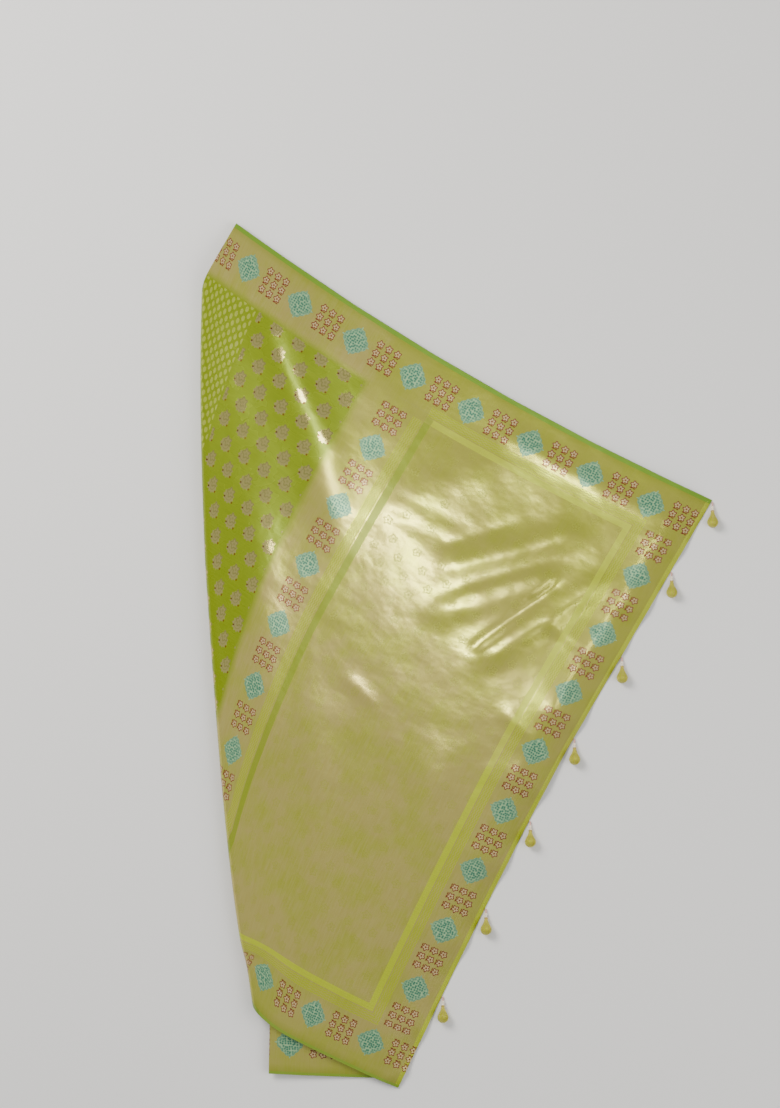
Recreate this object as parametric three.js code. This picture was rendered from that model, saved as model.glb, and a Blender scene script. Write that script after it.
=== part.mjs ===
// A silk saree, 5.5 m by 1.12 m, folded flat on the surface with its tasselled end on top.
//
// Two measures describe every point of the folded cloth. Reach is the distance in from the
// tasselled end edge, and drop is the distance down from the upper long edge, both as seen
// from above. X points to the tasselled end, Y to the upper long edge, Z up.

import * as THREE from 'three';

// The cloth, in millimetres
const CLOTH_LENGTH = 5500;
const CLOTH_WIDTH = 1120;
const THICK = 1;
const LAYER_STEP = 1.5; // from one layer to the next, middle to middle
const LOOSE_STEP = 2.5; // the same where a layer lies loosely on the next

// The back-and-forth folds. Left folds and right folds alternate, from the top layer down.
const LEFT_REACH = 915;
const RIGHT_REACH = [72, 56];
const LAST_RIGHT_REACH = 40; // at the lower long edge, where the last right fold starts
const LAST_TURN = THREE.MathUtils.degToRad(24); // how far the last two layers swing out
const LAST_LEG = 180; // the length of the last layer but one, along the lower long edge

// The corner fold, which tucks the lower left corner of the stack underneath
const CORNER_START = { reach: 915, drop: 94 };
const CORNER_SLANT = THREE.MathUtils.degToRad(32.8);
const CORNER_LENGTH = 1230;
const CORNER_BOW = 24; // how far the fold bulges outwards halfway along
const CORNER_INNER_RADIUS = 2;
const TUCK_MARGIN = 10; // the tucked corner counts as this much larger than it is
const TUCK_CLEAR = 1.2; // between the tucked corner and the stack on it
const RAMP_ABOVE = 250; // the stack comes down to the floor over this far, above the tuck
const RAMP_BELOW = 200; // and over this far below it
const TOP_EDGE_RAMP = 90;

// The hem of the tasselled end comes down to the floor over this far
const HEM_RAMP = 62;
const HEM_LIFT = { drop: 528, height: 5, halfWidth: 42 }; // where the tucked corner's tip lies

// The whole stack lies a little askew: its long edges sag, and the lower hem leans outwards
const EDGE_SAG = 24;
const SAG_SPAN = 930;
const HEM_LEAN = 40;
const LEAN_FROM = 480; // the drop where the hem starts to lean
const LEAN_POWER = 1.3;
const LOWER_DRAW = 12; // how far the lower long edge is drawn up
const CORNER_PULL = 19; // how far the corner fold is drawn inwards, where it is drawn most
const PULL_ALONG = 600; // where that is along the fold
const PULL_HALF = 420;
const PULL_DEPTH = 150; // how far in from the fold the cloth is drawn with it
// The lower end of the corner fold is drawn up along the fold
const NOOK = { reach: 300, drop: 1085, lift: 34, halfReach: 48, halfDrop: 62 };

// Ridges of the top layer, from one end to the other of each crest
const RIDGES = [
  { reach: 311, drop: 281, toReach: 188, toDrop: 167, height: 4.5, halfWidth: 24 },
  { reach: 287, drop: 356, toReach: 182, toDrop: 251, height: 4.5, halfWidth: 25 },
  { reach: 184, drop: 379, toReach: 104, toDrop: 224, height: 5, halfWidth: 24 },
  { reach: 449, drop: 236, toReach: 359, toDrop: 130, height: 3, halfWidth: 40 },
  { reach: 756, drop: 110, toReach: 550, toDrop: 294, height: 6, halfWidth: 42 },
  { reach: 640, drop: 420, toReach: 470, toDrop: 690, height: 4, halfWidth: 55 },
  { reach: 400, drop: 640, toReach: 250, toDrop: 900, height: 4, halfWidth: 50 },
  { reach: 180, drop: 620, toReach: 110, toDrop: 860, height: 4, halfWidth: 40 },
  { reach: 130, drop: 1010, toReach: 10, toDrop: 1085, height: 5, halfWidth: 30 },
];

// Ripples of the hem, which run in from the end edge
const HEM_RIPPLES = [
  { drop: 96, height: 4, halfWidth: 22 },
  { drop: 212, height: 5, halfWidth: 26 },
  { drop: 290, height: 3.5, halfWidth: 20 },
  { drop: 428, height: 5, halfWidth: 26 },
  { drop: 560, height: 4, halfWidth: 24 },
  { drop: 700, height: 5, halfWidth: 28 },
  { drop: 850, height: 4, halfWidth: 24 },
  { drop: 1012, height: 4.5, halfWidth: 28 },
];
const RIPPLE_REACH = 120; // how far in a ripple runs before it dies out

// Tassels on the end edge
const TASSEL_DROPS = [3, 138, 302, 459, 615, 780, 946]; // down the hem
const TASSEL_GAP = 0.4; // between the hem and the cord
const TASSEL_SLANT = THREE.MathUtils.degToRad(60); // from square to the hem towards its foot
const CORD_LENGTH = 15;
const CORD_RADIUS = 1.5;
const BEAD_RADIUS = 2.6;
const BULB_RADIUS = 9.5;
const BULB_LENGTH = 28;
const BULB_MIDDLE = CORD_LENGTH + 18.5; // from the hem to where the bulb is widest

// Colours
const LIME = 0x9eaa28;
const BULB_GREEN = 0xb9b84a;

// Steps of the mesh
const ROW_BANDS = [
  { from: 0, to: 94, rows: 2 },
  { from: 94, to: 164, rows: 5 }, // where the left folds go round the corner fold
  { from: 164, to: CLOTH_WIDTH, rows: 15 },
];
const TURN_STEPS = 3;
const CORNER_STEPS = 5;
const OPEN_STEPS = 5; // between a right fold and the corner fold, in a lower layer
const TUCK_STEPS = 2; // between the corner fold and a left fold
const TOP_OPEN_STEPS = 25; // the same as OPEN_STEPS, in the top layer
const HEM_STEPS = 4; // of them in the ramp of the hem
const LAST_OPEN_STEPS = 2;
const LAST_SHARED_STEPS = 3;
const LEAST_STEP = 1.2;

// Middle heights of the layers above the foot of the stack, from the top layer down
const LEVEL_GAPS = [LOOSE_STEP, LAYER_STEP, LAYER_STEP, LAYER_STEP, LOOSE_STEP, LOOSE_STEP, LAYER_STEP];
const LEVELS = [];
let level = THICK / 2;
for (const gap of [...LEVEL_GAPS].reverse()) {
  LEVELS.unshift(level);
  level += gap;
}
LEVELS.unshift(level);
const TUCKED_LAYERS = 6;
const TOP_LEVEL = LEVELS[0];
const LOWEST_TUCKED_LEVEL = LEVELS[TUCKED_LAYERS - 1];
const TUCK_HEIGHT = TOP_LEVEL - LOWEST_TUCKED_LEVEL + THICK;
const STACK_LIFT = TUCK_HEIGHT + TUCK_CLEAR;

function easeDown(distance, span) {
  const part = THREE.MathUtils.clamp(distance / span, 0, 1);
  return 0.5 + 0.5 * Math.cos(Math.PI * part);
}

function easeUp(distance, span) {
  return Math.sin((Math.PI / 2) * THREE.MathUtils.clamp(distance / span, 0, 1));
}

function hump(distance, halfWidth) {
  return Math.exp(-Math.pow(distance / halfWidth, 2));
}

// The corner fold in its own measures: along it, and how far beyond it a point lies
const alongFold = (reach, drop) =>
  -(reach - CORNER_START.reach) * Math.sin(CORNER_SLANT) +
  (drop - CORNER_START.drop) * Math.cos(CORNER_SLANT);

const acrossFold = (reach, drop) =>
  (reach - CORNER_START.reach) * Math.cos(CORNER_SLANT) +
  (drop - CORNER_START.drop) * Math.sin(CORNER_SLANT);

function bowAt(along) {
  const part = THREE.MathUtils.clamp(along / CORNER_LENGTH, 0, 1);
  return 4 * CORNER_BOW * part * (1 - part);
}

function fromFold(along, across) {
  const sin = Math.sin(CORNER_SLANT);
  const cos = Math.cos(CORNER_SLANT);
  return {
    reach: CORNER_START.reach - along * sin + across * cos,
    drop: CORNER_START.drop + along * cos + across * sin,
  };
}

// The size of the corner bend at a level of the stack, sideways and in height
const bendRadius = (height) => CORNER_INNER_RADIUS + height - LOWEST_TUCKED_LEVEL;
const tuckedHeight = (height) => TOP_LEVEL + THICK / 2 - height;
const bendHeight = (height) => (STACK_LIFT + height - tuckedHeight(height)) / 2;
const bendArc = (height) => (Math.PI * (bendRadius(height) + bendHeight(height))) / 2;

function reachAtFold(drop, beyond) {
  let reach = CORNER_START.reach;
  for (let turn = 0; turn < 6; turn += 1) {
    const across = beyond + bowAt(alongFold(reach, drop));
    const rise = (drop - CORNER_START.drop) * Math.sin(CORNER_SLANT);
    reach = CORNER_START.reach + (across - rise) / Math.cos(CORNER_SLANT);
  }
  return reach;
}

// The tucked corner as seen from above: where it starts, ends and has its far tip
function tuckedPoint(reach, drop, height) {
  const along = alongFold(reach, drop);
  const beyond = acrossFold(reach, drop) - bowAt(along);
  return fromFold(along, bowAt(along) - (beyond - bendArc(height)));
}
const TUCK_FOOT = fromFold(CORNER_LENGTH, 0);
const TUCK_TIP = tuckedPoint(LEFT_REACH, CLOTH_WIDTH, LOWEST_TUCKED_LEVEL);

function outside(reach, drop, from, to) {
  const span = Math.hypot(to.reach - from.reach, to.drop - from.drop);
  const cross =
    (to.reach - from.reach) * (drop - from.drop) - (to.drop - from.drop) * (reach - from.reach);
  return cross / span - TUCK_MARGIN;
}

// How high the foot of the stack lies
function stackLift(reach, drop) {
  const above = outside(reach, drop, CORNER_START, TUCK_TIP);
  const below = outside(reach, drop, TUCK_TIP, TUCK_FOOT);
  const ramps = easeDown(above, RAMP_ABOVE) * easeDown(below, RAMP_BELOW);
  return STACK_LIFT * ramps * easeUp(drop, TOP_EDGE_RAMP);
}

function ridgeHeight(ridge, reach, drop) {
  const runReach = ridge.toReach - ridge.reach;
  const runDrop = ridge.toDrop - ridge.drop;
  const run = Math.hypot(runReach, runDrop);
  const along = ((reach - ridge.reach) * runReach + (drop - ridge.drop) * runDrop) / run;
  const aside = ((reach - ridge.reach) * runDrop - (drop - ridge.drop) * runReach) / run;
  const past = Math.max(-along, along - run, 0);
  return ridge.height * hump(aside, ridge.halfWidth) * hump(past, 1.5 * ridge.halfWidth);
}

function relief(reach, drop) {
  let height = 0;
  for (const ridge of RIDGES) {
    height += ridgeHeight(ridge, reach, drop);
  }
  for (const ripple of HEM_RIPPLES) {
    height += ripple.height * hump(drop - ripple.drop, ripple.halfWidth) * easeDown(reach, RIPPLE_REACH);
  }
  return height;
}

// A point of the folded stack goes to its place in space, round the corner fold if it is past it
function placed(reach, drop, height) {
  const along = alongFold(reach, drop);
  const beyond = acrossFold(reach, drop) - bowAt(along);
  if (beyond <= 0) {
    return { reach, drop, z: stackLift(reach, drop) + height };
  }
  const arc = bendArc(height);
  if (beyond >= arc) {
    return { ...fromFold(along, bowAt(along) - beyond + arc), z: tuckedHeight(height) };
  }
  const start = fromFold(along, bowAt(along));
  const lift = stackLift(start.reach, start.drop);
  const halfHeight = (lift + height - tuckedHeight(height)) / 2;
  const angle = (Math.PI * beyond) / arc;
  return {
    ...fromFold(along, bowAt(along) + bendRadius(height) * Math.sin(angle)),
    z: tuckedHeight(height) + halfHeight * (1 + Math.cos(angle)),
  };
}

// A point of the stack where it lies on the surface
function laid(reach, drop) {
  const along = alongFold(reach, drop);
  const inside = Math.min(acrossFold(reach, drop) - bowAt(along), 0);
  const pull = CORNER_PULL * hump(along - PULL_ALONG, PULL_HALF) * hump(inside, PULL_DEPTH);
  const pulledReach = reach - pull * Math.cos(CORNER_SLANT);
  const pulledDrop = drop - pull * Math.sin(CORNER_SLANT);
  const part = THREE.MathUtils.clamp(pulledReach / SAG_SPAN, 0, 1);
  const low = Math.max((pulledDrop - LEAN_FROM) / (CLOTH_WIDTH - LEAN_FROM), 0);
  const lean = HEM_LEAN * Math.pow(low, LEAN_POWER);
  const besideNook = hump(pulledReach - NOOK.reach, NOOK.halfReach);
  const lift = NOOK.lift * besideNook * hump(pulledDrop - NOOK.drop, NOOK.halfDrop);
  const up = lift * Math.cos(CORNER_SLANT) + LOWER_DRAW * low * low;
  return [
    lean - pulledReach - lift * Math.sin(CORNER_SLANT),
    up - pulledDrop - 4 * EDGE_SAG * part * (1 - part),
  ];
}

// The top layer has its ridges, and its hem comes down to the floor
function placedOnTop(reach, drop, height, side) {
  const beyond = acrossFold(reach, drop) - bowAt(alongFold(reach, drop));
  const fade = easeDown(beyond, bendArc(height) / 2);
  const point = placed(reach, drop, height);
  const settled = easeUp(reach, HEM_RAMP);
  const rise = HEM_LIFT.height * hump(drop - HEM_LIFT.drop, HEM_LIFT.halfWidth);
  const floor = rise + (THICK / 2) * (1 + side);
  point.z = settled * point.z + (1 - settled) * floor + fade * relief(reach, drop);
  return point;
}

// A column is one line of the cloth from its upper to its lower long edge. at(drop, side) gives
// the place in the stack of its outer face, side 1, or its inner face, side -1.
function layerColumns(layer, rightAt, openSteps) {
  const goesLeft = layer % 2 === 0;
  const steps = openSteps + CORNER_STEPS + TUCK_STEPS;
  const hemSteps = layer === 0 ? HEM_STEPS : 0;
  const reachOf = (index, drop, height) => {
    const arc = bendArc(height);
    const right = rightAt(drop);
    const end = reachAtFold(drop, arc);
    let reach = end + ((LEFT_REACH - end) * (index - openSteps - CORNER_STEPS)) / TUCK_STEPS;
    if (index < hemSteps) {
      reach = (HEM_RAMP * index) / hemSteps;
    } else if (index <= openSteps) {
      const start = hemSteps ? HEM_RAMP : right;
      reach = start + ((reachAtFold(drop, 0) - start) * (index - hemSteps)) / (openSteps - hemSteps);
    } else if (index <= openSteps + CORNER_STEPS) {
      reach = reachAtFold(drop, (arc * (index - openSteps)) / CORNER_STEPS);
    }
    return Math.min(reach, LEFT_REACH - (steps - index) * LEAST_STEP);
  };
  const columns = [];
  for (let index = 0; index <= steps; index += 1) {
    const at = (drop, side) => {
      const height = LEVELS[layer] + ((goesLeft ? side : -side) * THICK) / 2;
      return { reach: reachOf(index, drop, height), drop, height };
    };
    columns.push({ layer, at });
  }
  return goesLeft ? columns : columns.reverse();
}

function turnColumns(layer, edgeAt, outward) {
  const radius = (LEVELS[layer] - LEVELS[layer + 1]) / 2;
  const middle = (LEVELS[layer] + LEVELS[layer + 1]) / 2;
  const facing = layer % 2 === 0 ? 1 : -1;
  const columns = [];
  for (let step = 1; step < TURN_STEPS; step += 1) {
    const angle = (Math.PI * step) / TURN_STEPS;
    const at = (drop, side) => {
      const edge = edgeAt(drop);
      const out = radius + (facing * side * THICK) / 2;
      return {
        reach: edge.reach + out * outward[0] * Math.sin(angle),
        drop: edge.drop + out * outward[1] * Math.sin(angle),
        height: middle + out * Math.cos(angle),
      };
    };
    columns.push({ layer, at });
  }
  return columns;
}

// The last right fold is skewed, so the two layers after it swing out at the lower left
const SWING = [Math.cos(LAST_TURN), Math.sin(LAST_TURN)];
const SKEW = Math.tan(LAST_TURN / 2);
const lastRight = (drop) => LAST_RIGHT_REACH + (CLOTH_WIDTH - drop) * SKEW;
const lastLeg = (drop) => LAST_LEG + (CLOTH_WIDTH - drop) * SKEW;

function swung(drop, run) {
  return { reach: lastRight(drop) + run * SWING[0], drop: drop + run * SWING[1] };
}

function swungColumns(layer, runs) {
  const facing = layer % 2 === 0 ? 1 : -1;
  return runs.map((runAt) => ({
    layer,
    at: (drop, side) => ({
      ...swung(drop, runAt(drop)),
      height: LEVELS[layer] + (facing * side * THICK) / 2,
    }),
  }));
}

function clothColumns() {
  const rights = [0, RIGHT_REACH[0], RIGHT_REACH[0], RIGHT_REACH[1], RIGHT_REACH[1]];
  const columns = [];
  for (let layer = 0; layer < rights.length; layer += 1) {
    const isLeft = layer % 2 === 0;
    const reach = isLeft ? LEFT_REACH : rights[layer];
    const openSteps = layer === 0 ? TOP_OPEN_STEPS : OPEN_STEPS;
    columns.push(...layerColumns(layer, () => rights[layer], openSteps));
    columns.push(...turnColumns(layer, (drop) => ({ reach, drop }), [isLeft ? 1 : -1, 0]));
  }
  columns.push(...layerColumns(5, lastRight, OPEN_STEPS));
  const skewedOut = [-Math.cos(LAST_TURN / 2), -Math.sin(LAST_TURN / 2)];
  columns.push(...turnColumns(5, (drop) => ({ reach: lastRight(drop), drop }), skewedOut));

  const lastSpan = CLOTH_LENGTH - lengthBeforeLastLayer();
  const shared = [];
  for (let step = LAST_SHARED_STEPS; step >= 0; step -= 1) {
    shared.push((drop) => lastLeg(drop) - (lastSpan * step) / LAST_SHARED_STEPS);
  }
  const before = [];
  for (let step = 0; step < LAST_OPEN_STEPS; step += 1) {
    before.push((drop) => (shared[0](drop) * step) / LAST_OPEN_STEPS);
  }
  columns.push(...swungColumns(6, [...before, ...shared]));
  columns.push(...turnColumns(6, (drop) => swung(drop, lastLeg(drop)), SWING));
  columns.push(...swungColumns(7, [...shared].reverse()));
  return columns;
}

// The length of cloth in the layers above the last one, along the lower long edge
function lengthBeforeLastLayer() {
  const rights = RIGHT_REACH.reduce((sum, reach) => sum + 2 * reach, LAST_RIGHT_REACH);
  return TUCKED_LAYERS * LEFT_REACH - rights + LAST_LEG;
}

function clothVertex(column, drop, side) {
  const { reach, drop: laidDrop, height } = column.at(drop, side);
  const isTop = column.layer === 0;
  const point = isTop ? placedOnTop(reach, laidDrop, height, side) : placed(reach, laidDrop, height);
  return [...laid(point.reach, point.drop), point.z];
}

function rowDrops() {
  const drops = [0];
  for (const band of ROW_BANDS) {
    for (let row = 1; row <= band.rows; row += 1) {
      drops.push(band.from + ((band.to - band.from) * row) / band.rows);
    }
  }
  return drops;
}

function clothGeometry() {
  const columns = clothColumns();
  const drops = rowDrops();
  const positions = [];
  for (const side of [1, -1]) {
    for (const column of columns) {
      for (const drop of drops) {
        positions.push(...clothVertex(column, drop, side));
      }
    }
  }
  const rowCount = drops.length;
  const backStart = columns.length * rowCount;
  const front = (column, row) => column * rowCount + row;
  const back = (column, row) => backStart + front(column, row);
  const faces = [];
  const quad = (a, b, c, d) => faces.push(a, b, c, a, c, d);
  for (let column = 0; column + 1 < columns.length; column += 1) {
    for (let row = 0; row + 1 < rowCount; row += 1) {
      const corners = [
        [column, row],
        [column + 1, row],
        [column + 1, row + 1],
        [column, row + 1],
      ];
      if (columns[column].layer % 2 === 1) {
        corners.push(corners.shift());
      }
      quad(...corners.map(([c, r]) => front(c, r)));
      const [a, b, c, d] = corners.map(([c, r]) => back(c, r));
      quad(a, d, c, b);
    }
    const next = column + 1;
    const foot = rowCount - 1;
    quad(front(column, 0), back(column, 0), back(next, 0), front(next, 0));
    quad(front(next, foot), back(next, foot), back(column, foot), front(column, foot));
  }
  const end = columns.length - 1;
  for (let row = 0; row + 1 < rowCount; row += 1) {
    quad(front(0, row), front(0, row + 1), back(0, row + 1), back(0, row));
    quad(front(end, row + 1), front(end, row), back(end, row), back(end, row + 1));
  }
  const geometry = new THREE.BufferGeometry();
  geometry.setAttribute('position', new THREE.Float32BufferAttribute(positions, 3));
  geometry.setIndex(faces);
  return geometry;
}

// A tassel lies on the floor: a cord, a bead on it and a bulb, turned as one profile
const BEAD_AT = 6; // along the cord
const BEAD_LENGTH = 5.5;
const BEAD_BEVEL = 1.5;
const BULB_NECK = 3.2;
const TASSEL_PROFILE = [
  { along: 0, radius: 0 },
  { along: 0, radius: CORD_RADIUS },
  { along: BEAD_AT, radius: CORD_RADIUS },
  { along: BEAD_AT + BEAD_BEVEL, radius: BEAD_RADIUS },
  { along: BEAD_AT + BEAD_LENGTH - BEAD_BEVEL, radius: BEAD_RADIUS },
  { along: BEAD_AT + BEAD_LENGTH, radius: CORD_RADIUS },
  { along: CORD_LENGTH - 1, radius: CORD_RADIUS },
  { along: CORD_LENGTH, radius: BULB_NECK },
  { along: CORD_LENGTH + 0.2 * BULB_LENGTH, radius: 0.38 * BULB_RADIUS },
  { along: CORD_LENGTH + 0.43 * BULB_LENGTH, radius: 0.71 * BULB_RADIUS },
  { along: BULB_MIDDLE, radius: BULB_RADIUS },
  { along: CORD_LENGTH + 0.83 * BULB_LENGTH, radius: 0.89 * BULB_RADIUS },
  { along: CORD_LENGTH + 0.94 * BULB_LENGTH, radius: 0.62 * BULB_RADIUS },
  { along: CORD_LENGTH + BULB_LENGTH, radius: 0.27 * BULB_RADIUS },
  { along: CORD_LENGTH + BULB_LENGTH, radius: 0 },
];
const TASSEL_SIDES = 12;

function tasselMesh(drop, index) {
  const profile = TASSEL_PROFILE.map(({ radius, along }) => new THREE.Vector2(radius, along));
  const material = new THREE.MeshStandardMaterial({ color: BULB_GREEN, roughness: 0.6, metalness: 0.2 });
  const mesh = new THREE.Mesh(new THREE.LatheGeometry(profile, TASSEL_SIDES), material);
  mesh.name = `tassel_${index + 1}`;

  // The bulb and the start of the cord both touch the floor, so the tassel tilts a little
  const tilt = Math.asin((BULB_RADIUS - CORD_RADIUS) / BULB_MIDDLE);
  const flat = Math.cos(tilt);
  const way = new THREE.Vector3(
    flat * Math.cos(TASSEL_SLANT),
    -flat * Math.sin(TASSEL_SLANT),
    Math.sin(tilt),
  );
  mesh.quaternion.setFromUnitVectors(new THREE.Vector3(0, 1, 0), way);
  const [x, y] = laid(0, drop);
  mesh.position.set(x + TASSEL_GAP + CORD_RADIUS, y, CORD_RADIUS);
  return mesh;
}

function clothMesh() {
  const material = new THREE.MeshStandardMaterial({
    color: LIME,
    roughness: 0.45,
    metalness: 0.3,
    side: THREE.DoubleSide,
  });
  const mesh = new THREE.Mesh(clothGeometry(), material);
  mesh.name = 'saree_cloth';
  return mesh;
}

const saree = new THREE.Group();
saree.add(clothMesh());
TASSEL_DROPS.forEach((drop, index) => {
  saree.add(tasselMesh(drop, index));
});

// The origin is under the middle of the box that holds it all
const middle = new THREE.Box3().setFromObject(saree, true).getCenter(new THREE.Vector3());
saree.position.set(-middle.x, -middle.y, 0);

export default saree;
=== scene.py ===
"""Dresses the folded silk saree: its thin woven cloth, its tassels and hem stitches, and the
studio that it lies in. Lengths are in metres unless a name ends in _MM or says otherwise."""

import logging
import math
from dataclasses import dataclass
from enum import IntEnum
from typing import Sequence, Union

import bpy
import numpy as np
from mathutils import Matrix, Vector


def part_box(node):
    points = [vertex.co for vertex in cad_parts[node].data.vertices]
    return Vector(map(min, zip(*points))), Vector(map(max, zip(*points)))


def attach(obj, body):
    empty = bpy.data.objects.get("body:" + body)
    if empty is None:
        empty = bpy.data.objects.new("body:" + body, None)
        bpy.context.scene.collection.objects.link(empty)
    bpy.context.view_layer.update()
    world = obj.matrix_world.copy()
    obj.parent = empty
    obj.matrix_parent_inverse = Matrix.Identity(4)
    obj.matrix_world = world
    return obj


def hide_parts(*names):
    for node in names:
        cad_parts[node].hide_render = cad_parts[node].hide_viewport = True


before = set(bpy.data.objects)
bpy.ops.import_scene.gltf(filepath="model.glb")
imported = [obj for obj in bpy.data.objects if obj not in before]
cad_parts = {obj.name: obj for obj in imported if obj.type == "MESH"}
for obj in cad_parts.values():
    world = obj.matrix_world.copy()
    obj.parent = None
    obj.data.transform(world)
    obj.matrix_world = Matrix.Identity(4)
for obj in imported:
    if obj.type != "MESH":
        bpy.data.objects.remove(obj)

log = logging.getLogger("saree")

MM = 0.001
CLOTH_LENGTH_MM = 5500.0
CLOTH_WIDTH_MM = 1120.0
WEAVE_MAP = "weave"

Array = np.ndarray
Colour = tuple[float, float, float, float]
Column = tuple[int, Array, Array, Array, Array]  # layer, reach, drop, height, and cloth so far
Number = Union[float, "Varying"]
Span = tuple[float, float]
Triple = tuple[float, float, float]


class Face(IntEnum):
    """One of the cloth's two faces, by the side of its middle that it lies on."""

    FRONT = 1
    BACK = -1


def linear(red: int, green: int, blue: int) -> Colour:
    """Turns a colour of 0 to 255 a channel into the linear colour that a socket takes."""
    shares = [part / 255.0 for part in (red, green, blue)]
    return (*(s / 12.92 if s <= 0.04045 else ((s + 0.055) / 1.055) ** 2.4 for s in shares), 1.0)


def ease_down(distance: Array, span: float) -> Array:
    """Falls smoothly from 1 at no distance to 0 at the span."""
    return 0.5 + 0.5 * np.cos(np.pi * np.clip(distance / span, 0.0, 1.0))


def ease_up(distance: Array, span: float) -> Array:
    """Rises from 0 at no distance to 1 at the span, steepest at the start."""
    return np.sin(np.pi / 2.0 * np.clip(distance / span, 0.0, 1.0))


def hump(distance: Array, half_width: float) -> Array:
    """A bell of height 1 that is about half_width wide to each side."""
    return np.exp(-((distance / half_width) ** 2))


def new_object(name: str, data: bpy.types.ID) -> bpy.types.Object:
    """Makes an object and puts it in the scene.

    Args:
        name: the object's name.
        data: its mesh, light or camera.

    Returns:
        The object.
    """
    made = bpy.data.objects.new(name, data)
    bpy.context.scene.collection.objects.link(made)
    return made


@dataclass(frozen=True)
class Crease:
    """A crest or valley of the cloth, from one end to the other, as seen from above.

    Args:
        reach, drop: one end, in millimetres in from the hem and down from the upper edge.
        to_reach, to_drop: the other end.
        height: of the crest, in millimetres, below 0 for a valley.
        half_width: to each side of the crest, in millimetres.
    """

    reach: float
    drop: float
    to_reach: float
    to_drop: float
    height: float
    half_width: float

    def rise(self, reach: Array, drop: Array) -> Array:
        """The height that the crease adds.

        Args:
            reach, drop: the points.

        Returns:
            The added height at each point, in millimetres.
        """
        run_reach, run_drop = self.to_reach - self.reach, self.to_drop - self.drop
        run = math.hypot(run_reach, run_drop)
        along = ((reach - self.reach) * run_reach + (drop - self.drop) * run_drop) / run
        aside = ((reach - self.reach) * run_drop - (drop - self.drop) * run_reach) / run
        past = np.maximum(np.maximum(-along, along - run), 0.0)
        return self.height * hump(aside, self.half_width) * hump(past, 1.5 * self.half_width)


RIDGES = (
    Crease(311, 281, 188, 167, 4.5, 24),
    Crease(287, 356, 182, 251, 4.5, 25),
    Crease(184, 379, 104, 224, 5, 24),
    Crease(449, 236, 359, 130, 3, 40),
    Crease(756, 110, 550, 294, 6, 42),
    Crease(640, 420, 470, 690, 4, 55),
    Crease(400, 640, 250, 900, 4, 50),
    Crease(180, 620, 110, 860, 4, 40),
    Crease(130, 1010, 10, 1085, 5, 30),
)

CREASES = (
    Crease(278, 322, 184, 232, 1.2, 9),
    Crease(219, 390, 156, 247, -2.4, 9),
    Crease(346, 266, 271, 186, -1.0, 10),
    Crease(448, 231, 343, 225, -0.8, 11),
    Crease(442, 266, 365, 261, -0.7, 10),
    Crease(369, 543, 330, 550, 1.4, 12),
    Crease(330, 58, 30, 62, 2.2, 19),
    Crease(772, 128, 598, 214, 1.2, 20),
    Crease(120, 300, 20, 330, 2.0, 14),
    Crease(110, 470, 16, 500, 1.8, 14),
    Crease(22, 1104, 4, 1090, 2.4, 7),
    Crease(30, 1118, 6, 1108, 1.8, 6),
)

# Drop, height and half width of each.
HEM_RIPPLES = (
    (96, 4, 22),
    (212, 5, 26),
    (290, 3.5, 20),
    (428, 5, 26),
    (560, 4, 24),
    (700, 5, 28),
    (850, 4, 24),
    (1012, 4.5, 28),
)


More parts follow.
